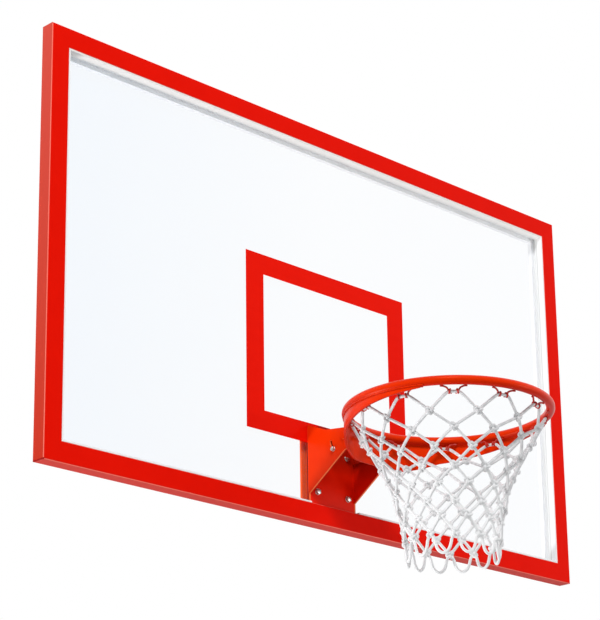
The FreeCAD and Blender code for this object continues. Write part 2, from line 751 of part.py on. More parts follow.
def hook_stations():
    reach = ROD_RADIUS + HOOK_WIRE_RADIUS + HOOK_SEAT_GAP
    seat = math.sqrt(reach * reach - HOOK_SEAT_INSET * HOOK_SEAT_INSET)
    knee = HOOK_HALF_SPREAD * HOOK_KNEE_SHARE
    inset = (HOOK_SEAT_INSET + HOOK_INSET) / 2
    eye = HOOK_EYE_HALF_SPREAD
    side = HOOK_EYE_HALF_WIDTH
    foot = HOOK_EYE_HALF_WIDTH / 2
    half = [
        (HOOK_HALF_SPREAD, HOOK_SEAT_INSET, seat),
        (knee, inset, seat + HOOK_KNEE_DROP),
        (eye + side, HOOK_INSET, HOOK_EYE_TOP),
        (eye + foot, HOOK_INSET, HOOK_EYE_BOTTOM),
        (eye - foot, HOOK_INSET, HOOK_EYE_BOTTOM),
        (eye - side, HOOK_INSET, HOOK_EYE_TOP),
    ]
    return [(-t, n, d) for t, n, d in half] + half[::-1]


def hook(angle):
    points = [ring_place(angle, t, n, d) for t, n, d in hook_stations()]
    path = Part.makePolygon(points)
    run = (points[1] - points[0]).normalize()
    side = run.cross(AXIS_Z).normalize()
    lift = side.cross(run)
    rim = [points[0] + side * a + lift * b for a, b in facets(HOOK_WIRE_RADIUS, HOOK_WIRE_SIDES)]
    return path.makePipeShell([Part.makePolygon(rim + rim[:1])], True, False, 1)


def hook_angles():
    step = 360 / HOOK_COUNT
    return [step * (i + 1 / 2) for i in range(HOOK_COUNT)]


def net_hooks():
    return Part.makeCompound([hook(a) for a in hook_angles()])


# Net: a funnel of flat facets, each holding one cord from knot to knot
def net_levels():
    drop = HOOK_EYE_BOTTOM + HOOK_WIRE_RADIUS + NET_SEAT_GAP
    levels = [(RING_RADIUS - HOOK_INSET, RING_Z - drop)]
    for step, share in zip(NET_ROW_STEPS, NET_RADIUS_SHARES):
        levels.append((RING_RADIUS * share, levels[-1][1] - step))
    return levels


def net_corner(row, sector, inward):
    radius, z = net_levels()[row]
    turn = math.pi * sector / HOOK_COUNT
    radius = radius - inward
    return vec(radius * math.cos(turn), RING_Y + radius * math.sin(turn), z)


def net_strand(row, sector, inward):
    tied = (row + sector) % 2
    a = net_corner(row, sector + 1 - tied, inward)
    b = net_corner(row, sector + tied, inward)
    c = net_corner(row + 1, sector + tied, inward)
    d = net_corner(row + 1, sector + 1 - tied, inward)
    across_top = (b - a).normalize() * KNOT_HALF_WIDTH
    across_low = (d - c).normalize() * KNOT_HALF_WIDTH
    down_left = (d - a).normalize() * KNOT_HALF_HEIGHT
    up_right = (b - c).normalize() * KNOT_HALF_HEIGHT
    return [a, a + across_top, c + up_right, c, c + across_low, a + down_left]


def strand_faces(row, sector, last_row):
    outer = net_strand(row, sector, 0)
    inner = net_strand(row, sector, CORD_THICKNESS)
    faces = [polygon(outer), polygon(inner)]
    walls = [(1, 2), (4, 5)]
    if row == 0:
        walls.append((0, 1))
    if row == last_row:
        walls.append((3, 4))
    for i, j in walls:
        faces.append(polygon([outer[i], outer[j], inner[j]]))
        faces.append(polygon([outer[i], inner[j], inner[i]]))
    return faces


def net():
    last_row = len(NET_ROW_STEPS) - 1
    faces = []
    for row in range(last_row + 1):
        for sector in range(2 * HOOK_COUNT):
            faces += strand_faces(row, sector, last_row)
    return closed_solid(faces)


save("rail_top", top_rail())
save("rail_bottom", mirror_z(top_rail()))
save("rail_right", right_rail())
save("rail_left", mirror_x(right_rail()))
save("lining_top", top_lining())
save("lining_bottom", bottom_lining())
save("lining_right", right_lining())
save("lining_left", mirror_x(right_lining()))
save("pane", pane())
save("target_square", target_square())
save("retainer_top", top_retainer())
save("retainer_bottom", mirror_z(top_retainer()))
save("retainer_right", right_retainer())
save("retainer_left", mirror_x(right_retainer()))
save("retainer_screws", retainer_screws())
save("mount_bushes", mount_bushes())
save("bracket", bracket())
save("front_pad", front_pad())
save("counter_plate", counter_plate())
save("rear_pad", rear_pad())
save("bracket_bolts", bracket_bolts())
save("bracket_washers", bracket_washers())
save("bracket_nuts", bracket_nuts())
save("hinge_pin", hinge_pin())
save("pin_cap", pin_cap())
save("hinge_spacers", hinge_spacers())
save("guide_studs", guide_studs())
save("guide_washers", guide_washers())
save("guide_nuts", guide_nuts())
save("return_springs", return_springs())
save("spring_ledge", spring_ledge())
save("carrier", carrier())
save("ring", ring())
save("skirt", skirt())
save("wing_right", right_wing())
save("wing_left", mirror_x(right_wing()))
save("net_hooks", net_hooks())
save("net", net())
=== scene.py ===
# %% [markdown]
# # A basketball backboard with a hinged goal
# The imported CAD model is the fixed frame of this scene. Its solids stay where they are.
# This lesson gives them their finishes, and models again the pieces that need rounder or softer
# forms: the hoop's rod, the wire hooks, the knotted net, the bolts and the coiled springs.

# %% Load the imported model
import bpy
import math
from mathutils import Matrix, Vector


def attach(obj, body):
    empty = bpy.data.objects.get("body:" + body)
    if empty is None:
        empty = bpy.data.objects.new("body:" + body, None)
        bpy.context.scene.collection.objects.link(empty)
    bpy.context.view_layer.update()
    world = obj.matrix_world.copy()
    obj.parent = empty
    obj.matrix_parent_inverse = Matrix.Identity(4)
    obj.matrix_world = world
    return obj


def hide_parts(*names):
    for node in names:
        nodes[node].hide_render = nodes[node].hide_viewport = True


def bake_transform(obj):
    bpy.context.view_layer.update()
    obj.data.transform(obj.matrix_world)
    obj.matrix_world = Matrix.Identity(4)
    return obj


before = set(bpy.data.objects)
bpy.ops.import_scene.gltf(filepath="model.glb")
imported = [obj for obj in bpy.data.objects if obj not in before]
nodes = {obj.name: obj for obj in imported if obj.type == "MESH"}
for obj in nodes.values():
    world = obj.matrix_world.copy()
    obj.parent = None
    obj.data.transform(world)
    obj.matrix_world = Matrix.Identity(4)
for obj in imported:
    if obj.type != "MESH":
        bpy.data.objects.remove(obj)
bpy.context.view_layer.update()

# %% [markdown]
# The sizes below repeat the CAD model's own, in metres. The hoop is the centre of everything that
# moves, so its centre and radius come first, and then the hinge that carries it.

# %% Sizes shared by several pieces
RING_CENTRE = Vector((0.0, -0.415, -0.317))
RING_RADIUS = 0.2395
ROD_RADIUS = 0.011
HINGE = Vector((0.0, -0.148, -0.329))
HOOK_COUNT = 12
EYE_DROP = 0.0225
EYE_INSET = 0.013
EYE_RADIUS = 0.0048


def deselect_all():
    if bpy.context.mode != "OBJECT":
        bpy.ops.object.mode_set(mode="OBJECT")
    bpy.ops.object.select_all(action="DESELECT")


def make_active(piece):
    deselect_all()
    piece.select_set(True)
    bpy.context.view_layer.objects.active = piece


def place_in_mesh(piece):
    make_active(piece)
    bpy.ops.object.transform_apply(location=True, rotation=True, scale=True)
    return piece


def close_mesh(piece):
    make_active(piece)
    bpy.ops.object.mode_set(mode="EDIT")
    bpy.ops.mesh.select_all(action="SELECT")
    bpy.ops.mesh.remove_doubles(threshold=0.00001)
    bpy.ops.mesh.normals_make_consistent(inside=False)
    bpy.ops.object.mode_set(mode="OBJECT")
    return piece


def join_pieces(pieces, name):
    deselect_all()
    for piece in pieces:
        piece.select_set(True)
    bpy.context.view_layer.objects.active = pieces[0]
    if len(pieces) > 1:
        bpy.ops.object.join()
    joined = bpy.context.object
    joined.name = name
    joined.data.name = name
    return joined


def hoop_point(turn, along, inset, drop):
    angle = turn + along / RING_RADIUS
    radius = RING_RADIUS - inset
    return RING_CENTRE + Vector((radius * math.cos(angle), radius * math.sin(angle), -drop))


# %% [markdown]
# ## The hoop's rod
# The hoop is one steel rod of 22 mm, bent round and butt-welded. The CAD model keeps it in twelve
# flats to stay light. Here a circle of the rod's size is spun once round the hoop's axis, which gives
# a true round section and an even mesh. A torus primitive would do the same in one step, but the spin
# shows how any bent bar is made from its section.

# %% Spin the rod's section round the hoop's axis
deselect_all()
bpy.ops.mesh.primitive_circle_add(
    vertices=36,
    radius=ROD_RADIUS,
    location=RING_CENTRE + Vector((RING_RADIUS, 0, 0)),
    rotation=(math.pi / 2, 0, 0),
)
hoop = place_in_mesh(bpy.context.object)
hoop.name = "hoop_rod"
bpy.ops.object.mode_set(mode="EDIT")
bpy.ops.mesh.select_all(action="SELECT")
bpy.ops.mesh.spin(steps=240, angle=2 * math.pi, center=RING_CENTRE, axis=(0, 0, 1))
hoop = close_mesh(hoop)
bpy.ops.object.shade_smooth()
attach(hoop, "goal")
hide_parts("ring")
print("hoop faces:", len(hoop.data.polygons))

# %% [markdown]
# ## Wire lines
# Wires and cords are curves with a round bevel. A NURBS spline through a few points bends as a wire
# does between the pins of a bending jig. This helper takes the lines, gives them their thickness and
# returns a mesh, so that the piece keeps its own vertices like every other piece.


# %% A helper that turns lines into round wire
def wire_mesh(name, lines, radius, sides_level, steps):
    curve = bpy.data.curves.new(name, "CURVE")
    curve.dimensions = "3D"
    curve.bevel_depth = radius
    curve.bevel_resolution = sides_level
    curve.resolution_u = steps
    curve.use_fill_caps = True
    for points, closed in lines:
        spline = curve.splines.new("NURBS")
        spline.points.add(len(points) - 1)
        for knot, point in zip(spline.points, points):
            knot.co = (point.x, point.y, point.z, 1)
        spline.use_cyclic_u = closed
        spline.use_endpoint_u = not closed
        spline.order_u = 3
    wire = bpy.data.objects.new(name, curve)
    bpy.context.scene.collection.objects.link(wire)
    make_active(wire)
    bpy.ops.object.convert(target="MESH")
    wire = bpy.context.object
    bpy.ops.object.shade_smooth()
    return wire


# %% [markdown]
# ## The net hooks
# Twelve hooks of thin red wire hang under the hoop. Each has two pigtails: a straight foot welded
# along the rod, a bend, and a little more than one turn that the cord threads through. One pigtail is
# drawn as a line in the hoop's own directions, along it, towards its axis and down, and is repeated
# round the hoop and mirrored.

# %% Bend the pigtail hooks
WIRE_RADIUS = 0.0023
FOOT_DROP = 0.0110
EYE_TURNS = 1.4
EYE_POINTS = 12


def pigtail_line(turn, side):
    stations = [
        (0.032, 0.0070, FOOT_DROP),
        (0.026, 0.0070, FOOT_DROP + 0.0002),
        (0.021, 0.0100, FOOT_DROP + 0.0010),
        (0.016, 0.0125, FOOT_DROP + 0.0030),
    ]
    for i in range(EYE_POINTS + 1):
        share = i / EYE_POINTS
        bend = 2 * math.pi * EYE_TURNS * share
        along = 0.0135 - 0.0075 * share
        inset = EYE_INSET + EYE_RADIUS * math.sin(bend)
        drop = EYE_DROP - EYE_RADIUS * math.cos(bend)
        stations.append((along, inset, drop))
    return [hoop_point(turn, side * along, inset, drop) for along, inset, drop in stations]


hook_turns = [2 * math.pi * (i + 0.5) / HOOK_COUNT for i in range(HOOK_COUNT)]
pigtails = [(pigtail_line(turn, side), False) for turn in hook_turns for side in (-1, 1)]
net_wires = wire_mesh("net_wires", pigtails, WIRE_RADIUS, 2, 4)
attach(net_wires, "goal")
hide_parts("net_hooks")
print("hook wires:", len(pigtails), "faces:", len(net_wires.data.polygons))

# %% [markdown]
# ## The net
# The net is knotted from white braided cord of 7 mm. A cord threads through both eyes of each hook,
# and its two ends go down to the first row of knots. From there the cords run slantwise from knot to
# knot, in eight rows that draw in to half the hoop's width, and a loop hangs between each two of
# the last knots. A real net is never quite even, so every knot gets a small shift from a sine of its
# own number, which is the same on every run.

# %% Lay out the knots
CORD_RADIUS = 0.0036
ROW_STEPS = [0.031, 0.033, 0.039, 0.038, 0.038, 0.037, 0.036, 0.038, 0.046]
ROW_SHARES = [0.875, 0.78, 0.692, 0.608, 0.552, 0.515, 0.482, 0.462, 0.45]
TOP_DROP = 0.0281
KNOT_SHIFT = 0.0022
SECTORS = 2 * HOOK_COUNT


def wobble(row, sector, channel):
    return math.sin(12.9898 * row + 78.233 * sector + 37.719 * channel + 0.7)


def knot_place(row, sector):
    sector = sector % SECTORS
    drop = TOP_DROP + sum(ROW_STEPS[:row])
    inset = RING_RADIUS * (1 - ROW_SHARES[row - 1])
    turn = 2 * math.pi * sector / SECTORS
    along = KNOT_SHIFT * wobble(row, sector, 1)
    drop = drop + KNOT_SHIFT * wobble(row, sector, 2)
    return hoop_point(turn, along, inset, drop)


LAST_KNOTS = len(ROW_STEPS) - 1
knot_keys = []
for row in range(1, LAST_KNOTS + 1):
    knot_keys += [(row, s) for s in range(SECTORS) if (row + s) % 2 == 1]
print("knots:", len(knot_keys))

# %% [markdown]
# Each cord is a short spline. The ones in the middle of the net are pulled almost straight by the
# net's weight, so they only bow outwards by a millimetre or two. The top ones pass through the eyes
# level, and the bottom ones hang as slack loops of slightly different length.

# %% Draw the cords
BOW = 0.0016
LOOP_SPREAD_SHARE = 0.62
LOOP_LENGTH_SHIFT = 0.004
EYE_STATIONS = ((0.019, 0.001, 0.004), (0.0115, 0, 0.0012), (0.006, 0, 0.0005))


def cord_line(a, b, bow):
    middle = (a + b) / 2
    out = Vector((middle.x - RING_CENTRE.x, middle.y - RING_CENTRE.y, 0)).normalized()
    return [a, a.lerp(b, 0.25) + out * bow * 0.7, middle + out * bow, a.lerp(b, 0.75) + out * bow * 0.7, b]


def top_line(sector):
    turn = 2 * math.pi * sector / SECTORS
    left = [hoop_point(turn, -t, EYE_INSET + n, EYE_DROP + d) for t, n, d in EYE_STATIONS]
    right = [hoop_point(turn, t, EYE_INSET + n, EYE_DROP + d) for t, n, d in reversed(EYE_STATIONS)]
    start = knot_place(1, sector - 1)
    end = knot_place(1, sector + 1)
    return [start, start.lerp(left[0], 0.5)] + left + right + [end.lerp(right[-1], 0.5), end]


def loop_line(sector):
    left = knot_place(LAST_KNOTS, sector - 1)
    right = knot_place(LAST_KNOTS, sector + 1)
    middle = (left + right) / 2
    depth = ROW_STEPS[-1] + LOOP_LENGTH_SHIFT * wobble(9, sector, 3) - LOOP_LENGTH_SHIFT
    down = Vector((0, 0, -depth))
    half = (right - left) * LOOP_SPREAD_SHARE / 2
    return [
        left,
        left.lerp(middle - half, 0.7) + down * 0.2,
        middle - half + down * 0.6,
        middle - half * 0.72 + down * 0.94,
        middle + down * 1.14,
        middle + half * 0.72 + down * 0.94,
        middle + half + down * 0.6,
        right.lerp(middle + half, 0.7) + down * 0.2,
        right,
    ]


cords = []
for row, sector in knot_keys:
    if row < LAST_KNOTS:
        for side in (-1, 1):
            cords.append((cord_line(knot_place(row, sector), knot_place(row + 1, sector + side), BOW), False))
for i in range(HOOK_COUNT):
    cords.append((top_line(2 * i + 1), False))
    cords.append((loop_line(2 * i + LAST_KNOTS % 2), False))
cord_runs = wire_mesh("cord_runs", cords, CORD_RADIUS, 2, 3)
print("cords:", len(cords), "faces:", len(cord_runs.data.polygons))

# %% [markdown]
# A sheet-bend knot is a small lump in which the cord passes over and under itself. One closed
# trefoil line, squashed towards the net's surface, shows that crossing from every side. It is bent
# once, and copied to each knot, turned to face outwards from the hoop's axis.

# %% Tie one knot and copy it
KNOT_RADIUS = 0.0054
KNOT_WIRE = 0.0037
KNOT_POINTS = 20


def trefoil_line():
    points = []
    for i in range(KNOT_POINTS):
        t = 2 * math.pi * i / KNOT_POINTS
        across = (math.sin(t) + 2 * math.sin(2 * t)) / 2
        up = (math.cos(t) - 2 * math.cos(2 * t)) / 2
        out = -math.sin(3 * t)
        points.append(Vector((across * KNOT_RADIUS, out * KNOT_RADIUS * 0.75, up * KNOT_RADIUS * 1.15)))
    return points


first_knot = wire_mesh("knot", [(trefoil_line(), True)], KNOT_WIRE, 1, 2)
knots = []
for index, (row, sector) in enumerate(knot_keys):
    copy = first_knot.copy()
    copy.data = first_knot.data.copy()
    place = knot_place(row, sector)
    facing = math.atan2(place.y - RING_CENTRE.y, place.x - RING_CENTRE.x) + math.pi / 2
    roll = Matrix.Rotation(2.1 * index, 4, "Y")
    copy.data.transform(Matrix.Translation(place) @ Matrix.Rotation(facing, 4, "Z") @ roll)
    bpy.context.scene.collection.objects.link(copy)
    knots.append(copy)
bpy.data.objects.remove(first_knot)
net_cord = join_pieces([cord_runs] + knots, "net_cord")
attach(net_cord, "goal")
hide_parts("net")
print("net faces:", len(net_cord.data.polygons))

# %% [markdown]
# ## The return springs
# Two torsion springs of 6 mm wire sit on the hinge pin and push the goal back up after it has
# tilted. In the CAD model their turns are straight runs. Here each is one NURBS line of twelve points
# a turn, so that the coil is round. The legs stay where the CAD model has them.

# %% Wind the springs
SPRING_COIL = 0.012
SPRING_WIRE = 0.003
SPRING_PITCH = 0.0069
SPRING_X = 0.059
SPRING_TAIL_Y = -0.0734
SPRING_LEG = 0.1202
SPRING_LEG_TURN = math.radians(14)
SPRING_SWEEP = 2 * math.pi * 4 - math.pi - SPRING_LEG_TURN
SPRING_STEPS = 42


def spring_line(side):
    points = []
    for i in range(SPRING_STEPS + 1):
        turn = -math.pi / 2 - SPRING_SWEEP * i / SPRING_STEPS
        x = SPRING_X - SPRING_PITCH * SPRING_SWEEP / (2 * math.pi) * i / SPRING_STEPS
        y = HINGE.y + SPRING_COIL * math.cos(turn)
        z = HINGE.z + SPRING_COIL * math.sin(turn)
        points.append(Vector((side * x, y, z)))
    tail = Vector((side * SPRING_X, SPRING_TAIL_Y, points[0].z))
    run = Vector((0, math.cos(SPRING_LEG_TURN), math.sin(SPRING_LEG_TURN)))
    tip = points[-1] + run * SPRING_LEG
    return [tail, tail.lerp(points[0], 0.5)] + points + [points[-1].lerp(tip, 0.5), tip]


springs = wire_mesh("coil_springs", [(spring_line(side), False) for side in (-1, 1)], SPRING_WIRE, 3, 4)
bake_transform(springs)
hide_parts("return_springs")
print("spring faces:", len(springs.data.polygons))

# %% [markdown]
# ## The brace under the hoop
# A strip of 5 mm plate is rolled to the hoop's curve and welded under the rear of its rod. It is
# deepest beside the bracket and tapers off towards the front. It starts as a circle whose front part
# is deleted. The rest is extruded down to the strip's lower edge, gets its thickness from Solidify and
# its broken edges from Bevel. The middle and the two wings are separate pieces, as they are in the CAD.

# %% Roll the three lengths of the brace
BRACE_RADIUS = 0.2435
BRACE_SHEET = 0.005
BRACE_TOP = 0.0098
BRACE_LEAST = 0.0012
BRACE_STEPS = 480
BRACE_SPLIT = math.radians(68.25)
BRACE_END = math.radians(-28.5)
HOOP_OUTER = 0.2505
NEAR = 0.0001
BRACE_EDGE = [
    (-0.47, 0.0),
    (-0.44, 0.06),
    (-0.2, 0.085),
    (0.1, 0.115),
    (0.42, 0.165),
    (0.72, 0.225),
    (0.92, 0.325),
    (1.1, 0.28),
]


def brace_depth(y):
    share = (y - RING_CENTRE.y) / HOOP_OUTER
    depth = BRACE_LEAST
    for (y0, d0), (y1, d1) in zip(BRACE_EDGE, BRACE_EDGE[1:]):
        if y0 <= share <= y1:
            depth = HOOP_OUTER * (d0 + (d1 - d0) * (share - y0) / (y1 - y0))
    return max(depth, BRACE_TOP + BRACE_LEAST)


def hoop_turn(place):
    turn = math.atan2(place.y - RING_CENTRE.y, place.x - RING_CENTRE.x)
    return turn if turn > -math.pi / 2 else turn + 2 * math.pi


def rolled_strip(name, start, end):
    deselect_all()
    bpy.ops.mesh.primitive_circle_add(
        vertices=BRACE_STEPS,
        radius=BRACE_RADIUS,
        location=RING_CENTRE - Vector((0, 0, BRACE_TOP)),
    )
    strip = place_in_mesh(bpy.context.object)
    strip.name = name
    bpy.ops.object.mode_set(mode="EDIT")
    bpy.ops.mesh.select_all(action="DESELECT")
    bpy.ops.object.mode_set(mode="OBJECT")
    for point in strip.data.vertices:
        point.select = not start - NEAR <= hoop_turn(point.co) <= end + NEAR
    bpy.ops.object.mode_set(mode="EDIT")
    bpy.ops.mesh.delete(type="VERT")
    bpy.ops.mesh.select_all(action="SELECT")
    bpy.ops.mesh.extrude_region_move(TRANSFORM_OT_translate={"value": (0, 0, -BRACE_LEAST)})
    bpy.ops.object.mode_set(mode="OBJECT")
    for point in strip.data.vertices:
        if point.select:
            point.co.z = RING_CENTRE.z - brace_depth(point.co.y)
    sheet = strip.modifiers.new("sheet", "SOLIDIFY")
    sheet.thickness = BRACE_SHEET
    sheet.offset = 0
    bpy.ops.object.modifier_apply(modifier="sheet")
    edges = strip.modifiers.new("edges", "BEVEL")
    edges.width = 0.0009
    edges.segments = 2
    edges.limit_method = "ANGLE"
    edges.angle_limit = math.radians(50)
    bpy.ops.object.modifier_apply(modifier="edges")
    close_mesh(strip)
    bpy.ops.object.shade_smooth_by_angle(angle=math.radians(40))
    return strip


brace_lengths = []
for name, start, end, node in (
    ("brace_middle", BRACE_SPLIT, math.pi - BRACE_SPLIT, "skirt"),
    ("brace_right", BRACE_END, BRACE_SPLIT, "wing_right"),
    ("brace_left", math.pi - BRACE_SPLIT, math.pi - BRACE_END, "wing_left"),
):
    length = rolled_strip(name, start, end)
    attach(length, "goal")
    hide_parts(node)
    brace_lengths.append(length)
    print(name, "faces:", len(length.data.polygons))

# %% [markdown]
# The brace and the carrier's arms are welded on. A weld bead is a thin rope of metal with a ripple
# where each drop set on the one before. It is drawn as a line that steps in and out by a third of a
# millimetre, along both sides of the brace's top edge and down the two arms.

# %% Lay the weld beads
BEAD_RADIUS = 0.0019
BEAD_RIPPLE = 0.0004
BEAD_STEPS = 320
ARM_SIDE = 0.0725
ARM_TOP = -0.318
ARM_FOOT = -0.348
ARM_STEPS = 24


def bead_round(radius, drop):
    points = []
    for i in range(BEAD_STEPS + 1):
        turn = BRACE_END + (math.pi - 2 * BRACE_END) * i / BEAD_STEPS
        ripple = BEAD_RIPPLE * math.cos(math.pi * i)
        points.append(hoop_point(turn, 0, RING_RADIUS - radius + ripple, drop + ripple))
    return points


def bead_down(side):
    y = RING_CENTRE.y + math.sqrt(0.2464**2 - ARM_SIDE**2)
    points = []
    for i in range(ARM_STEPS + 1):
        ripple = BEAD_RIPPLE * math.cos(math.pi * i)
        z = ARM_TOP + (ARM_FOOT - ARM_TOP) * i / ARM_STEPS
        points.append(Vector((side * (ARM_SIDE + ripple), y + ripple, z)))
    return points


bead_lines = [bead_round(0.2403, 0.0117), bead_round(0.2467, 0.0096), bead_down(-1), bead_down(1)]
brace_weld = wire_mesh("brace_weld", [(line, False) for line in bead_lines], BEAD_RADIUS, 1, 1)
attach(brace_weld, "goal")
print("weld faces:", len(brace_weld.data.polygons))

# %% [markdown]
# ## Bolts, nuts and washers
# A bolt is turned and forged, so it is made here from two shapes. The shank is a half outline, spun
# round its axis, with small ridges for the thread. The head is a hexagon whose edges are bevelled. One
# of each is modelled upright at the origin, and then copied and turned into its place.

# %% Helpers for turned and forged shapes
TURNED_SIDES = 28


def turned_shape(name, outline):
    mesh = bpy.data.meshes.new(name)
    mesh.from_pydata([(r, 0, h) for r, h in outline], [(i, i + 1) for i in range(len(outline) - 1)], [])
    piece = bpy.data.objects.new(name, mesh)
    bpy.context.scene.collection.objects.link(piece)
    make_active(piece)
    bpy.ops.object.mode_set(mode="EDIT")
    bpy.ops.mesh.select_all(action="SELECT")
    bpy.ops.mesh.spin(steps=TURNED_SIDES, angle=2 * math.pi, center=(0, 0, 0), axis=(0, 0, 1))
    close_mesh(piece)
    bpy.ops.object.shade_smooth_by_angle(angle=math.radians(30))
    return piece


def hex_shape(name, flats, base, top):
    deselect_all()
    bpy.ops.mesh.primitive_cylinder_add(
        vertices=6,
        radius=flats / math.sqrt(3),
        depth=top - base,
        location=(0, 0, (top + base) / 2),
    )
    piece = place_in_mesh(bpy.context.object)
    piece.name = name
    bpy.ops.object.mode_set(mode="EDIT")
    bpy.ops.mesh.select_all(action="SELECT")
    bpy.ops.mesh.bevel(offset=flats * 0.06, segments=2, affect="EDGES")
    bpy.ops.object.mode_set(mode="OBJECT")
    bpy.ops.object.shade_smooth_by_angle(angle=math.radians(30))
    return piece


def washer_outline(bore, radius, base, top):
    edge = (top - base) * 0.25
    return [
        (bore, base),
        (radius - edge, base),
        (radius, base + edge),
        (radius, top - edge),
        (radius - edge, top),
        (bore, top),
        (bore, base),
    ]


def thread_outline(radius, base, top, pitch):
    ridges = int((top - base) / pitch)
    outline = [(0, base), (radius * 0.8, base)]
    for i in range(ridges):
        outline.append((radius, base + pitch * (i + 0.5)))
        outline.append((radius * 0.88, base + pitch * (i + 1)))
    return outline + [(radius * 0.8, top), (0, top)]


def copy_to_places(first, places, turn, name):
    copies = []
    for place in places:
        copy = first.copy()
        copy.data = first.data.copy()
        copy.data.transform(Matrix.Translation(place) @ turn)
        bpy.context.scene.collection.objects.link(copy)
        copies.append(copy)
    bpy.data.objects.remove(first)
    return join_pieces(copies, name)


# %% [markdown]
# The four bracket bolts are M8: 13 mm across flats, with plain washers under their heads and nuts
# behind the counter plate. The two guide studs are M6, and their nuts are 10 mm across flats. The
# twelve screws of the retaining strips have small hexagon heads too.

# %% Model one of each and copy it
UPRIGHT_TO_FRONT = Matrix.Rotation(math.pi / 2, 4, "X")
UPRIGHT_TO_REAR = Matrix.Rotation(-math.pi / 2, 4, "X")
UPRIGHT_TO_RIGHT = Matrix.Rotation(math.pi / 2, 4, "Y")
UPRIGHT_TO_LEFT = Matrix.Rotation(-math.pi / 2, 4, "Y")
PLATE_FRONT = -0.0283
COUNTER_REAR = -0.001
bolt_places = [Vector((x, PLATE_FRONT, z)) for x in (-0.0525, 0.0525) for z in (-0.4405, -0.3355)]
nut_places = [Vector((place.x, COUNTER_REAR, place.z)) for place in bolt_places]
GUIDE_SIDE = 0.080
GUIDE_REACH = 0.044
GUIDE_TURN = math.radians(38)
guide_y = HINGE.y + GUIDE_REACH * math.cos(GUIDE_TURN)
guide_z = HINGE.z - GUIDE_REACH * math.sin(GUIDE_TURN)
strip_places = [Vector((x, 0.003, z)) for x in (-0.79, -0.79 / 3, 0.79 / 3, 0.79) for z in (-0.486, 0.486)]
strip_places += [Vector((x, 0.003, z)) for x in (-0.861, 0.861) for z in (-0.415, 0.415)]


def bolt_shape():
    head = hex_shape("head", 0.013, 0.0016, 0.0069)
    shank = turned_shape("shank", thread_outline(0.004, -0.0371, 0.003, 0.00125))
    return join_pieces([head, shank], "bolt")


def nut_shape(flats, bore, height):
    nut = hex_shape("nut", flats, 0, height)
    face = turned_shape("face", washer_outline(bore, flats * 0.47, height * 0.9, height * 1.04))
    return join_pieces([nut, face], "nut")


def screw_shape():
    head = hex_shape("head", 0.008, 0, 0.0034)
    shank = turned_shape("shank", thread_outline(0.0024, -0.009, 0.0005, 0.0008))
    return join_pieces([head, shank], "screw")


plate_bolts = copy_to_places(bolt_shape(), bolt_places, UPRIGHT_TO_FRONT, "plate_bolts")
plate_disc = turned_shape("disc", washer_outline(0.0043, 0.008, 0, 0.0016))
plate_washers = copy_to_places(plate_disc, bolt_places, UPRIGHT_TO_FRONT, "plate_washers")
plate_nut = nut_shape(0.013, 0.004, 0.0068)
plate_nuts = copy_to_places(plate_nut, nut_places, UPRIGHT_TO_REAR, "plate_nuts")
strip_screws = copy_to_places(screw_shape(), strip_places, UPRIGHT_TO_REAR, "strip_screws")
fasteners = [
    (plate_bolts, "bracket_bolts", "board"),
    (plate_washers, "bracket_washers", "board"),
    (plate_nuts, "bracket_nuts", "board"),
    (strip_screws, "retainer_screws", "board"),
]


def both_sides(right, left, name):
    sides = []
    for shape, turn, sign in ((right, UPRIGHT_TO_RIGHT, 1), (left, UPRIGHT_TO_LEFT, -1)):
        place = Vector((sign * GUIDE_SIDE, guide_y, guide_z))
        sides.append(copy_to_places(shape, [place], turn, name))
    return join_pieces(sides, name)


def stud_shape():
    return turned_shape("stud", thread_outline(0.003, -0.013, 0.0081, 0.001))


def disc_shape():
    return turned_shape("disc", washer_outline(0.0031, 0.006, 0, 0.0016))


def guide_nut_shape():
    nut = nut_shape(0.010, 0.003, 0.005)
    nut.data.transform(Matrix.Translation((0, 0, 0.0016)))
    return nut


fasteners += [
    (both_sides(stud_shape(), stud_shape(), "threaded_studs"), "guide_studs", "goal"),
    (both_sides(disc_shape(), disc_shape(), "stud_washers"), "guide_washers", "goal"),
    (both_sides(guide_nut_shape(), guide_nut_shape(), "stud_nuts"), "guide_nuts", "goal"),
]
for piece, node, body in fasteners:
    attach(piece, body)
    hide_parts(node)
    print(piece.name, "faces:", len(piece.data.polygons))

# %% [markdown]
# ## Finishes
# Every finish starts from what the real surface is. Colours are written as sRGB hex values, as they
# are read off a photograph, and one function turns them to the linear values that the shader needs.
# One more function adds a node with its settings and its links. A socket that shares its name with
# another is given by its number: 6 and 7 are the two colours of a Mix node, and 2 is its result.


# %% Helpers for colour and nodes
def linear(hex_colour):
    channels = [int(hex_colour[i : i + 2], 16) / 255 for i in (0, 2, 4)]
    return [c / 12.92 if c <= 0.04045 else ((c + 0.055) / 1.055) ** 2.4 for c in channels] + [1.0]


def add_node(tree, kind, settings=None, links=None):
    node = tree.nodes.new(kind)
    for name, value in (settings or {}).items():
        if isinstance(name, int) or name in node.inputs:
            node.inputs[name].default_value = value
        else:
            setattr(node, name, value)
    for name, (source, output) in (links or {}).items():
        tree.links.new(source.outputs[output], node.inputs[name])
    return node


def new_finish(name, settings):
    finish = bpy.data.materials.new(name)
    finish.use_nodes = True
    tree = finish.node_tree
    shader = tree.nodes["Principled BSDF"]
    for socket, value in settings.items():
        shader.inputs[socket].default_value = value
    place = add_node(tree, "ShaderNodeTexCoord")
    return finish, tree, shader, place


def wear(piece, finish):
    piece.data.materials.clear()
    piece.data.materials.append(finish)


def millimetres(size):
    return 1000.0 / size


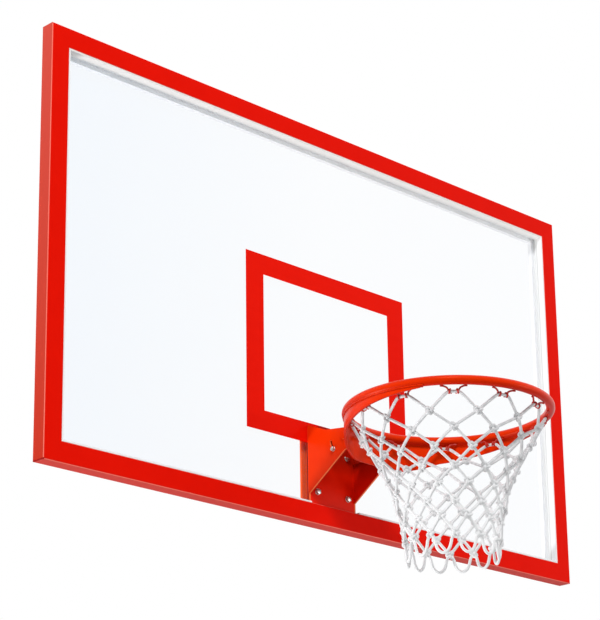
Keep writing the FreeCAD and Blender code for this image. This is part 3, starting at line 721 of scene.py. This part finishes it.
# %% [markdown]
# ### Red enamel of the frame
# The frame's steel tube is sprayed with a glossy red enamel, deep and even on the front. A paler pink on the
# tube's sides and underside is a painted sheen, the white surroundings mirrored at a slant. It is mixed in
# by the surface's own direction, and as painted light it fades from the top to the foot of the posts. On the
# tubes' rounded edges a painted highlight turns the red almost pink. The welds that close the frame's
# two lower corners collect dirt and are dark. Sprayed paint also shows a very soft orange peel, a few
# millimetres wide.

# %% Frame enamel
RED_GLEAM = linear("FF2410")
enamel, tree, shader, place = new_finish(
    "red_enamel",
    {"Roughness": 0.4, "Specular IOR Level": 0.07, "Specular Tint": RED_GLEAM},
)
mottle = add_node(
    tree,
    "ShaderNodeTexNoise",
    {"Scale": millimetres(60), "Detail": 3.0},
    {"Vector": (place, "Object")},
)
tone = add_node(
    tree,
    "ShaderNodeMix",
    {"data_type": "RGBA", 6: linear("DE0E01"), 7: linear("E61201")},
    {"Factor": (mottle, "Fac")},
)
axes = add_node(tree, "ShaderNodeSeparateXYZ", None, {"Vector": (place, "Object")})
# Painted sheen: a paler red on the tube's sides, lighter at the top and darker towards the foot.
rise = add_node(tree, "ShaderNodeMapRange", {"From Min": -0.525, "From Max": 0.525}, {"Value": (axes, "Z")})
painted_side_sheen = add_node(
    tree,
    "ShaderNodeMix",
    {"data_type": "RGBA", 6: linear("BA301D"), 7: linear("D04B3E")},
    {"Factor": (rise, "Result")},
)
facing = add_node(tree, "ShaderNodeSeparateXYZ", None, {"Vector": (place, "Normal")})
front = add_node(tree, "ShaderNodeMath", {"operation": "ABSOLUTE"}, {0: (facing, "Y")})
turned_away = add_node(
    tree,
    "ShaderNodeMapRange",
    {"From Min": 0.75, "From Max": 0.25},
    {"Value": (front, "Value")},
)
# Painted sheen on the tube's underside.
under = add_node(tree, "ShaderNodeMapRange", {"From Min": -0.3, "From Max": -0.8}, {"Value": (facing, "Z")})
painted_underside_sheen = add_node(
    tree,
    "ShaderNodeMix",
    {"data_type": "RGBA", 7: linear("B93026")},
    {"Factor": (under, "Result"), 6: (painted_side_sheen, 2)},
)
coat = add_node(
    tree,
    "ShaderNodeMix",
    {"data_type": "RGBA"},
    {"Factor": (turned_away, "Result"), 6: (tone, 2), 7: (painted_underside_sheen, 2)},
)
# Painted highlight: the rounded edges of the tube turn almost pink.
lacking = add_node(tree, "ShaderNodeMath", {"operation": "SUBTRACT", 0: 1.0}, {1: (front, 0)})
corner = add_node(tree, "ShaderNodeMath", {"operation": "MULTIPLY"}, {0: (front, 0), 1: (lacking, 0)})
edge_highlight_mask = add_node(tree, "ShaderNodeMapRange", {"From Min": 0.1, "From Max": 0.2}, {"Value": (corner, "Value")})
painted_edge_highlight = add_node(
    tree,
    "ShaderNodeMix",
    {"data_type": "RGBA", 7: linear("F27C6C")},
    {"Factor": (edge_highlight_mask, "Result"), 6: (coat, 2)},
)
across = add_node(tree, "ShaderNodeMath", {"operation": "ABSOLUTE"}, {0: (axes, "X")})
side_end = add_node(
    tree,
    "ShaderNodeMapRange",
    {"From Min": 0.8964, "From Max": 0.8976},
    {"Value": (across, "Value")},
)
bar_end = add_node(
    tree,
    "ShaderNodeMapRange",
    {"From Min": -0.5214, "From Max": -0.5226},
    {"Value": (axes, "Z")},
)
seam = add_node(
    tree,
    "ShaderNodeMath",
    {"operation": "MULTIPLY"},
    {0: (side_end, "Result"), 1: (bar_end, "Result")},
)
welded = add_node(
    tree,
    "ShaderNodeMix",
    {"data_type": "RGBA", 7: linear("96100A")},
    {"Factor": (seam, "Value"), 6: (painted_edge_highlight, 2)},
)
tree.links.new(welded.outputs[2], shader.inputs["Base Color"])
peel = add_node(
    tree,
    "ShaderNodeTexNoise",
    {"Scale": millimetres(9), "Detail": 2.0},
    {"Vector": (place, "Object")},
)
bump = add_node(tree, "ShaderNodeBump", {"Strength": 0.08, "Distance": 0.0006}, {"Height": (peel, "Fac")})
tree.links.new(bump.outputs["Normal"], shader.inputs["Normal"])
for name in ("rail_top", "rail_bottom", "rail_right", "rail_left"):
    wear(nodes[name], enamel)
print("finish:", enamel.name)

# %% [markdown]
# ### Orange powder coat of the goal
# Powder is baked on, so it is tougher and a little rougher than enamel, with a fine even grain. The
# grain is under a millimetre on the real coat. It is drawn at 3 mm here so that it shows at all. Inside
# the folded bracket a deeper red is painted shade, darkest towards the top near the hinge, and the
# undersides get a painted shade of the same red. The sheet's cut edges get a paler orange as a painted
# highlight. The plate behind the pane gets a brighter orange as painted light.

# %% Goal powder coat
powder, tree, shader, place = new_finish(
    "orange_powder_coat",
    {"Roughness": 0.33, "Specular IOR Level": 0.25, "Specular Tint": linear("FF6A30")},
)
cloud = add_node(
    tree,
    "ShaderNodeTexNoise",
    {"Scale": millimetres(45), "Detail": 4.0},
    {"Vector": (place, "Object")},
)
tone = add_node(
    tree,
    "ShaderNodeMix",
    {"data_type": "RGBA", 6: linear("DB2A02"), 7: linear("E53303")},
    {"Factor": (cloud, "Fac")},
)
axes = add_node(tree, "ShaderNodeSeparateXYZ", None, {"Vector": (place, "Object")})
across = add_node(tree, "ShaderNodeMath", {"operation": "ABSOLUTE"}, {0: (axes, "X")})
# Painted shade: the faces inside the folded bracket get a deeper red, darker towards the top.
between = add_node(
    tree,
    "ShaderNodeMapRange",
    {"From Min": 0.0775, "From Max": 0.0755},
    {"Value": (across, "Value")},
)
behind = add_node(
    tree,
    "ShaderNodeMapRange",
    {"From Min": -0.175, "From Max": -0.150},
    {"Value": (axes, "Y")},
)
before = add_node(
    tree,
    "ShaderNodeMapRange",
    {"From Min": -0.0275, "From Max": -0.0282},
    {"Value": (axes, "Y")},
)
depth = add_node(
    tree,
    "ShaderNodeMath",
    {"operation": "MULTIPLY"},
    {0: (behind, "Result"), 1: (before, "Result")},
)
inside = add_node(tree, "ShaderNodeMath", {"operation": "MULTIPLY"}, {0: (between, "Result"), 1: (depth, 0)})
coat = add_node(tree, "ShaderNodeMix", {"data_type": "RGBA"}, {"Factor": (inside, "Value"), 6: (tone, 2)})
height = add_node(
    tree,
    "ShaderNodeMapRange",
    {"From Min": -0.425, "From Max": -0.345},
    {"Value": (axes, "Z")},
)
painted_inside_shade = add_node(
    tree,
    "ShaderNodeMix",
    {"data_type": "RGBA", 6: linear("EE1A02"), 7: linear("A81403")},
    {"Factor": (height, "Result")},
)
tree.links.new(painted_inside_shade.outputs[2], coat.inputs[7])
# Painted light: the plate behind the pane is made a brighter orange.
behind_pane_mask = add_node(
    tree,
    "ShaderNodeMapRange",
    {"From Min": -0.0080, "From Max": -0.0075},
    {"Value": (axes, "Y")},
)
painted_light_behind_pane = add_node(
    tree,
    "ShaderNodeMix",
    {"data_type": "RGBA", 7: linear("FF5A0A")},
    {"Factor": (behind_pane_mask, "Result"), 6: (coat, 2)},
)
facing = add_node(tree, "ShaderNodeSeparateXYZ", None, {"Vector": (place, "Normal")})
# Painted shade: faces that look downwards get a deeper red.
under = add_node(
    tree,
    "ShaderNodeMapRange",
    {"From Min": 0.0, "From Max": -0.9, "To Max": 0.8},
    {"Value": (facing, "Z")},
)
painted_underside_shade = add_node(
    tree,
    "ShaderNodeMix",
    {"data_type": "RGBA", 7: linear("B81602")},
    {"Factor": (under, "Result"), 6: (painted_light_behind_pane, 2)},
)
# Painted highlight along the cut edges of the bracket's sheet.
sideways = add_node(tree, "ShaderNodeMath", {"operation": "ABSOLUTE"}, {0: (facing, "X")})
narrow = add_node(
    tree,
    "ShaderNodeMapRange",
    {"From Min": 0.5, "From Max": 0.3},
    {"Value": (sideways, "Value")},
)
outer = add_node(
    tree,
    "ShaderNodeMapRange",
    {"From Min": 0.0755, "From Max": 0.0765},
    {"Value": (across, "Value")},
)
sheet_edge = add_node(
    tree,
    "ShaderNodeMath",
    {"operation": "MULTIPLY"},
    {0: (narrow, "Result"), 1: (outer, "Result")},
)
cut = add_node(tree, "ShaderNodeMath", {"operation": "MULTIPLY"}, {0: (sheet_edge, 0), 1: (depth, 0)})
painted_cut_edge_highlight = add_node(
    tree,
    "ShaderNodeMix",
    {"data_type": "RGBA", 7: linear("FA7E48")},
    {"Factor": (cut, "Value"), 6: (painted_underside_shade, 2)},
)
tree.links.new(painted_cut_edge_highlight.outputs[2], shader.inputs["Base Color"])
grain = add_node(
    tree,
    "ShaderNodeTexNoise",
    {"Scale": millimetres(3), "Detail": 2.0},
    {"Vector": (place, "Object")},
)
bump = add_node(tree, "ShaderNodeBump", {"Strength": 0.12, "Distance": 0.0004}, {"Height": (grain, "Fac")})
tree.links.new(bump.outputs["Normal"], shader.inputs["Normal"])
for name in ("bracket", "counter_plate", "hinge_pin", "pin_cap", "spring_ledge", "carrier"):
    wear(nodes[name], powder)
for piece in [hoop, brace_weld] + brace_lengths:
    wear(piece, powder)
print("finish:", powder.name)

# %% [markdown]
# ### Dipped hook wire
# The hooks are dipped in a darker red, and the coat is a little uneven along each wire.

# %% Hook dip coat
dip, tree, shader, place = new_finish("dark_red_dip_coat", {"Roughness": 0.35, "Specular IOR Level": 0.4})
runs = add_node(
    tree,
    "ShaderNodeTexNoise",
    {"Scale": millimetres(8), "Detail": 2.0},
    {"Vector": (place, "Object")},
)
tone = add_node(
    tree,
    "ShaderNodeMix",
    {"data_type": "RGBA", 6: linear("A41810"), 7: linear("CC2E1C")},
    {"Factor": (runs, "Fac")},
)
tree.links.new(tone.outputs[2], shader.inputs["Base Color"])
wear(net_wires, dip)
print("finish:", dip.name)

# %% [markdown]
# ### Bright zinc of the bolts
# Bolts, nuts and bushes are plated with zinc. Plating is a thin bright metal with faint cloudy
# patches, so the roughness changes a little from place to place.

# %% Zinc plate
zinc, tree, shader, place = new_finish("bright_zinc_plate", {"Metallic": 1.0})
patch = add_node(
    tree,
    "ShaderNodeTexNoise",
    {"Scale": millimetres(5), "Detail": 3.0},
    {"Vector": (place, "Object")},
)
tone = add_node(
    tree,
    "ShaderNodeMix",
    {"data_type": "RGBA", 6: linear("B4B4AE"), 7: linear("DADAD6")},
    {"Factor": (patch, "Fac")},
)
tree.links.new(tone.outputs[2], shader.inputs["Base Color"])
dull = add_node(tree, "ShaderNodeMapRange", {"To Min": 0.22, "To Max": 0.42}, {"Value": (patch, "Fac")})
tree.links.new(dull.outputs["Result"], shader.inputs["Roughness"])
wear(nodes["mount_bushes"], zinc)
for piece, node, body in fasteners:
    wear(piece, zinc)
print("finish:", zinc.name)

# %% [markdown]
# ### Clear pane
# The pane is polished acrylic of 12 mm, clear with a very faint blue in its depth. So thick a sheet
# could be drawn with a transmitting shader, but seen at a slant its edges would then mirror dark lines
# that the real, edge-lit sheet doesn't show. A pale blue surface that lets most light straight through
# gives the same clear look. Weather from one side leaves a little more haze on the left, and handling
# makes it a trace less than perfectly smooth in soft patches. The sheet's narrow edges are bound with
# white tape, so the frame's red doesn't show through them.

# %% Pane acrylic
acrylic, tree, shader, place = new_finish("clear_acrylic", {"IOR": 1.49})
haze = add_node(
    tree,
    "ShaderNodeTexNoise",
    {"Scale": millimetres(220), "Detail": 2.0},
    {"Vector": (place, "Object")},
)
tone = add_node(
    tree,
    "ShaderNodeMix",
    {"data_type": "RGBA", 6: linear("62B0EC"), 7: linear("94CBF4")},
    {"Factor": (haze, "Fac")},
)
facing = add_node(tree, "ShaderNodeSeparateXYZ", None, {"Vector": (place, "Normal")})
front = add_node(tree, "ShaderNodeMath", {"operation": "ABSOLUTE"}, {0: (facing, "Y")})
edge = add_node(tree, "ShaderNodeMapRange", {"From Min": 0.7, "From Max": 0.3}, {"Value": (front, "Value")})
taped = add_node(
    tree,
    "ShaderNodeMix",
    {"data_type": "RGBA", 7: linear("F2F3F2")},
    {"Factor": (edge, "Result"), 6: (tone, 2)},
)
tree.links.new(taped.outputs[2], shader.inputs["Base Color"])
axes = add_node(tree, "ShaderNodeSeparateXYZ", None, {"Vector": (place, "Object")})
aside = add_node(
    tree,
    "ShaderNodeMapRange",
    {"From Min": 0.0, "From Max": -0.8, "To Min": 0.02, "To Max": 0.06},
    {"Value": (axes, "X")},
)
solid = add_node(
    tree,
    "ShaderNodeMath",
    {"operation": "MAXIMUM"},
    {0: (aside, "Result"), 1: (edge, "Result")},
)
tree.links.new(solid.outputs[0], shader.inputs["Alpha"])
smear = add_node(tree, "ShaderNodeMapRange", {"To Min": 0.02, "To Max": 0.1}, {"Value": (haze, "Fac")})
tree.links.new(smear.outputs["Result"], shader.inputs["Roughness"])
wear(nodes["pane"], acrylic)
print("finish:", acrylic.name)

# %% [markdown]
# ### Red film of the target square
# The square is cut from self-adhesive film. Film is smoother than enamel, and tiny ripples from the
# squeegee run across it.

# %% Target film
film, tree, shader, place = new_finish(
    "red_film",
    {"Roughness": 0.34, "Specular IOR Level": 0.07, "Specular Tint": RED_GLEAM},
)
streak = add_node(tree, "ShaderNodeMapping", {"Scale": (1.0, 1.0, 6.0)}, {"Vector": (place, "Object")})
ripple = add_node(
    tree,
    "ShaderNodeTexNoise",
    {"Scale": millimetres(120), "Detail": 2.0},
    {"Vector": (streak, "Vector")},
)
tone = add_node(
    tree,
    "ShaderNodeMix",
    {"data_type": "RGBA", 6: linear("E41204"), 7: linear("EC1705")},
    {"Factor": (ripple, "Fac")},
)
tree.links.new(tone.outputs[2], shader.inputs["Base Color"])
bump = add_node(tree, "ShaderNodeBump", {"Strength": 0.05, "Distance": 0.0005}, {"Height": (ripple, "Fac")})
tree.links.new(bump.outputs["Normal"], shader.inputs["Normal"])
wear(nodes["target_square"], film)
print("finish:", film.name)

# %% [markdown]
# ### Foam lining
# The opening is lined with a pale grey foam strip with fine pores. Where it meets the pane, a narrow
# bead of sealant has gathered dust and shows as a darker line. The upper strip is given a warmer grey
# as painted shade.

# %% Lining foam
foam, tree, shader, place = new_finish("grey_foam_strip", {"Roughness": 0.75, "Specular IOR Level": 0.2})
patch = add_node(
    tree,
    "ShaderNodeTexNoise",
    {"Scale": millimetres(30), "Detail": 3.0},
    {"Vector": (place, "Object")},
)
tone = add_node(
    tree,
    "ShaderNodeMix",
    {"data_type": "RGBA", 6: linear("EAEBEC"), 7: linear("F4F4F5")},
    {"Factor": (patch, "Fac")},
)
axes = add_node(tree, "ShaderNodeSeparateXYZ", None, {"Vector": (place, "Object")})
sealed = add_node(
    tree,
    "ShaderNodeMapRange",
    {"From Min": -0.0245, "From Max": -0.0225},
    {"Value": (axes, "Y")},
)
dusty = add_node(
    tree,
    "ShaderNodeMix",
    {"data_type": "RGBA", 7: linear("D2D3D2")},
    {"Factor": (sealed, "Result"), 6: (tone, 2)},
)
# Painted shade: the upper strip is made a warmer grey.
upper = add_node(tree, "ShaderNodeMapRange", {"From Min": 0.46, "From Max": 0.475}, {"Value": (axes, "Z")})
painted_top_strip_shade = add_node(
    tree,
    "ShaderNodeMix",
    {"data_type": "RGBA", 7: linear("E3E0DD")},
    {"Factor": (upper, "Result"), 6: (dusty, 2)},
)
tree.links.new(painted_top_strip_shade.outputs[2], shader.inputs["Base Color"])
pores = add_node(
    tree,
    "ShaderNodeTexNoise",
    {"Scale": millimetres(2.5), "Detail": 2.0},
    {"Vector": (place, "Object")},
)
bump = add_node(tree, "ShaderNodeBump", {"Strength": 0.3, "Distance": 0.0004}, {"Height": (pores, "Fac")})
tree.links.new(bump.outputs["Normal"], shader.inputs["Normal"])
for name in ("lining_top", "lining_bottom", "lining_right", "lining_left"):
    wear(nodes[name], foam)
print("finish:", foam.name)

# %% [markdown]
# ### Rubber pads
# Under the bracket and the counter plate lie pads of black moulded rubber. Their narrow edges have been
# painted over with the goal, because the photograph shows orange beside the bracket right up to the pane.

# %% Pad rubber
rubber, tree, shader, place = new_finish(
    "black_moulded_rubber",
    {"Roughness": 0.7, "Specular IOR Level": 0.3},
)
patch = add_node(
    tree,
    "ShaderNodeTexNoise",
    {"Scale": millimetres(12), "Detail": 3.0},
    {"Vector": (place, "Object")},
)
tone = add_node(
    tree,
    "ShaderNodeMix",
    {"data_type": "RGBA", 6: linear("1C1C1C"), 7: linear("303030")},
    {"Factor": (patch, "Fac")},
)
facing = add_node(tree, "ShaderNodeSeparateXYZ", None, {"Vector": (place, "Normal")})
front = add_node(tree, "ShaderNodeMath", {"operation": "ABSOLUTE"}, {0: (facing, "Y")})
edge = add_node(tree, "ShaderNodeMapRange", {"From Min": 0.7, "From Max": 0.3}, {"Value": (front, "Value")})
painted = add_node(
    tree,
    "ShaderNodeMix",
    {"data_type": "RGBA", 7: linear("F2480A")},
    {"Factor": (edge, "Result"), 6: (tone, 2)},
)
tree.links.new(painted.outputs[2], shader.inputs["Base Color"])
grain = add_node(
    tree,
    "ShaderNodeTexNoise",
    {"Scale": millimetres(1.5), "Detail": 2.0},
    {"Vector": (place, "Object")},
)
bump = add_node(tree, "ShaderNodeBump", {"Strength": 0.3, "Distance": 0.0004}, {"Height": (grain, "Fac")})
tree.links.new(bump.outputs["Normal"], shader.inputs["Normal"])
for name in ("front_pad", "rear_pad"):
    wear(nodes[name], rubber)
print("finish:", rubber.name)

# %% [markdown]
# ### White strips, nylon and spring steel
# The retaining strips behind the pane are aluminium with a white baked coat. The hinge washers are
# natural nylon, and the springs are dark oiled steel. Each of these has one soft pattern for its colour
# and one fine pattern for its surface, so one loop can set them from a table of real sizes.

# %% The plainer finishes
STRIPS = ("retainer_top", "retainer_bottom", "retainer_right", "retainer_left")
PLAIN_FINISHES = [
    ("white_baked_aluminium", "EEEFF0", "F8F8F9", 50, 4, 0.06, 0.4, 0.4, 0.0, STRIPS),
    ("natural_nylon", "CFCBC0", "E0DCD2", 8, 2, 0.1, 0.5, 0.5, 0.0, ("hinge_spacers",)),
    ("oiled_spring_steel", "4A4B4D", "6E6F72", 6, 2, 0.15, 0.36, 0.5, 1.0, ()),
]
for title, dark, pale, patch_mm, grain_mm, strength, rough, specular, metallic, wearers in PLAIN_FINISHES:
    finish, tree, shader, place = new_finish(
        title,
        {"Roughness": rough, "Specular IOR Level": specular, "Metallic": metallic},
    )
    patch = add_node(
        tree,
        "ShaderNodeTexNoise",
        {"Scale": millimetres(patch_mm), "Detail": 3.0},
        {"Vector": (place, "Object")},
    )
    tone = add_node(
        tree,
        "ShaderNodeMix",
        {"data_type": "RGBA", 6: linear(dark), 7: linear(pale)},
        {"Factor": (patch, "Fac")},
    )
    tree.links.new(tone.outputs[2], shader.inputs["Base Color"])
    grain = add_node(
        tree,
        "ShaderNodeTexNoise",
        {"Scale": millimetres(grain_mm), "Detail": 2.0},
        {"Vector": (place, "Object")},
    )
    bump = add_node(
        tree,
        "ShaderNodeBump",
        {"Strength": strength, "Distance": 0.0004},
        {"Height": (grain, "Fac")},
    )
    tree.links.new(bump.outputs["Normal"], shader.inputs["Normal"])
    for name in wearers:
        wear(nodes[name], finish)
    if title == "oiled_spring_steel":
        wear(springs, finish)
    print("finish:", title)

# %% [markdown]
# ### Braided net cord
# The cord is braided from white polyester. The braid's plaits are about 2 mm long. They are drawn as
# slanting bands at 4 mm, the finest that the picture can show, and the hollows between them are a
# little greyer. The loops at the foot are made whiter as painted light, and the rows above stay greyer. A
# soft sheen stands for the fibres that stick out.

# %% Net cord
cord, tree, shader, place = new_finish(
    "white_braided_cord",
    {"Roughness": 0.8, "Specular IOR Level": 0.2, "Sheen Weight": 0.25, "Sheen Roughness": 0.5},
)
plait = add_node(
    tree,
    "ShaderNodeTexWave",
    {"Scale": millimetres(4) / 6.28, "Distortion": 2.5, "Detail": 2.0, "bands_direction": "DIAGONAL"},
    {"Vector": (place, "Object")},
)
fuzz = add_node(
    tree,
    "ShaderNodeTexNoise",
    {"Scale": millimetres(22), "Detail": 3.0},
    {"Vector": (place, "Object")},
)
blend = add_node(tree, "ShaderNodeMath", {"operation": "MULTIPLY"}, {0: (plait, "Fac"), 1: (fuzz, "Fac")})
tone = add_node(
    tree,
    "ShaderNodeMix",
    {"data_type": "RGBA", 6: linear("CBCCCE"), 7: linear("E9EAEB")},
    {"Factor": (blend, "Value")},
)
axes = add_node(tree, "ShaderNodeSeparateXYZ", None, {"Vector": (place, "Object")})
# Painted light: the cord turns whiter towards the foot of the net.
foot = add_node(
    tree,
    "ShaderNodeMapRange",
    {"From Min": RING_CENTRE.z - 0.11, "From Max": RING_CENTRE.z - 0.24},
    {"Value": (axes, "Z")},
)
painted_light_at_foot = add_node(
    tree,
    "ShaderNodeMix",
    {"data_type": "RGBA", 7: linear("E4E5E6")},
    {"Factor": (foot, "Result"), 6: (tone, 2)},
)
tree.links.new(painted_light_at_foot.outputs[2], shader.inputs["Base Color"])
bump = add_node(tree, "ShaderNodeBump", {"Strength": 0.35, "Distance": 0.0008}, {"Height": (plait, "Fac")})
tree.links.new(bump.outputs["Normal"], shader.inputs["Normal"])
wear(net_cord, cord)
print("finish:", cord.name)

# %% [markdown]
# ## Floor, light and camera
# A hoop hangs 3.05 m above the court, so the pale floor lies that far below it, outside the picture.
# The world is an even soft white. Seen directly, or mirrored in metal and acrylic, it is pure white,
# as the photograph's background is, and it lights the object at a lower level. Large soft lamps add
# the rest: a strong one high at the front left, a weak one at the front right that opens the shadows,
# and one low behind the board that lights the frame's left side and underside.

# %% Floor
deselect_all()
bpy.ops.mesh.primitive_plane_add(size=40, location=(0, 0, RING_CENTRE.z - 3.05))
floor = place_in_mesh(bpy.context.object)
floor.name = "court_floor"
paint, tree, shader, place = new_finish("pale_floor", {"Roughness": 0.7, "Base Color": linear("ECECEC")})
speck = add_node(tree, "ShaderNodeTexNoise", {"Scale": 3.0}, {"Vector": (place, "Object")})
bump = add_node(tree, "ShaderNodeBump", {"Strength": 0.02}, {"Height": (speck, "Fac")})
tree.links.new(bump.outputs["Normal"], shader.inputs["Normal"])
rays = add_node(tree, "ShaderNodeLightPath")
glow = add_node(tree, "ShaderNodeMath", {"operation": "MULTIPLY", 1: 0.42}, {0: (rays, "Is Camera Ray")})
tree.links.new(glow.outputs[0], shader.inputs["Emission Strength"])
shader.inputs["Emission Color"].default_value = (1, 1, 1, 1)
wear(floor, paint)

# %% World and lamps
world = bpy.data.worlds.new("soft_white")
bpy.context.scene.world = world
world.use_nodes = True
tree = world.node_tree
back = tree.nodes["Background"]
back.inputs["Color"].default_value = (1, 1, 1, 1)
rays = add_node(tree, "ShaderNodeLightPath")
seen = add_node(
    tree,
    "ShaderNodeMath",
    {"operation": "MAXIMUM"},
    {0: (rays, "Is Camera Ray"), 1: (rays, "Is Glossy Ray")},
)
shown = add_node(
    tree,
    "ShaderNodeMath",
    {"operation": "MAXIMUM"},
    {0: (seen, 0), 1: (rays, "Is Transmission Ray")},
)
level = add_node(tree, "ShaderNodeMapRange", {"To Min": 0.42, "To Max": 1.0}, {"Value": (shown, "Value")})
tree.links.new(level.outputs["Result"], back.inputs["Strength"])


def soft_lamp(name, place, aim, size, watts):
    lamp = bpy.data.lights.new(name, "AREA")
    lamp.shape = "DISK"
    lamp.size = size
    lamp.energy = watts
    holder = bpy.data.objects.new(name, lamp)
    holder.location = place
    holder.rotation_euler = (Vector(aim) - Vector(place)).to_track_quat("-Z", "Y").to_euler()
    bpy.context.scene.collection.objects.link(holder)
    return holder


soft_lamp("key_lamp", (-4.6, -5.0, 6.4), (0, -0.2, 0), 2.6, 590)
soft_lamp("fill_lamp", (2.6, -3.6, -0.6), (0, 0, -0.3), 1.6, 30)
soft_lamp("left_low_lamp", (-2.8, 2.4, -2.8), (-0.3, 0, -0.4), 1.6, 150)

# %% [markdown]
# The camera stands below and to the left, at eye height above the court, and its place was worked
# out from the frame's corners and the hoop in the photograph. The rows of its matrix are the picture's
# right, down and forward directions. A small upward shift keeps the board's verticals almost upright.

# %% Camera
RIGHT = Vector((0.71627, -0.69770, -0.01308))
DOWN = Vector((0.19461, 0.21771, -0.95641))
FORWARD = Vector((0.67014, 0.68250, 0.29172))
lens = bpy.data.cameras.new("photo_camera")
lens.sensor_fit = "HORIZONTAL"
lens.sensor_width = 36.0
lens.lens = 131.69
lens.shift_y = (440 - 310) / 600
lens.clip_end = 60
camera = bpy.data.objects.new("photo_camera", lens)
turn = Matrix((RIGHT, -DOWN, -FORWARD)).transposed().to_4x4()
camera.matrix_world = Matrix.Translation((-3.69410, -3.67892, -1.88035)) @ turn
bpy.context.scene.collection.objects.link(camera)
bpy.context.scene.camera = camera
bpy.context.scene.view_settings.view_transform = "Standard"
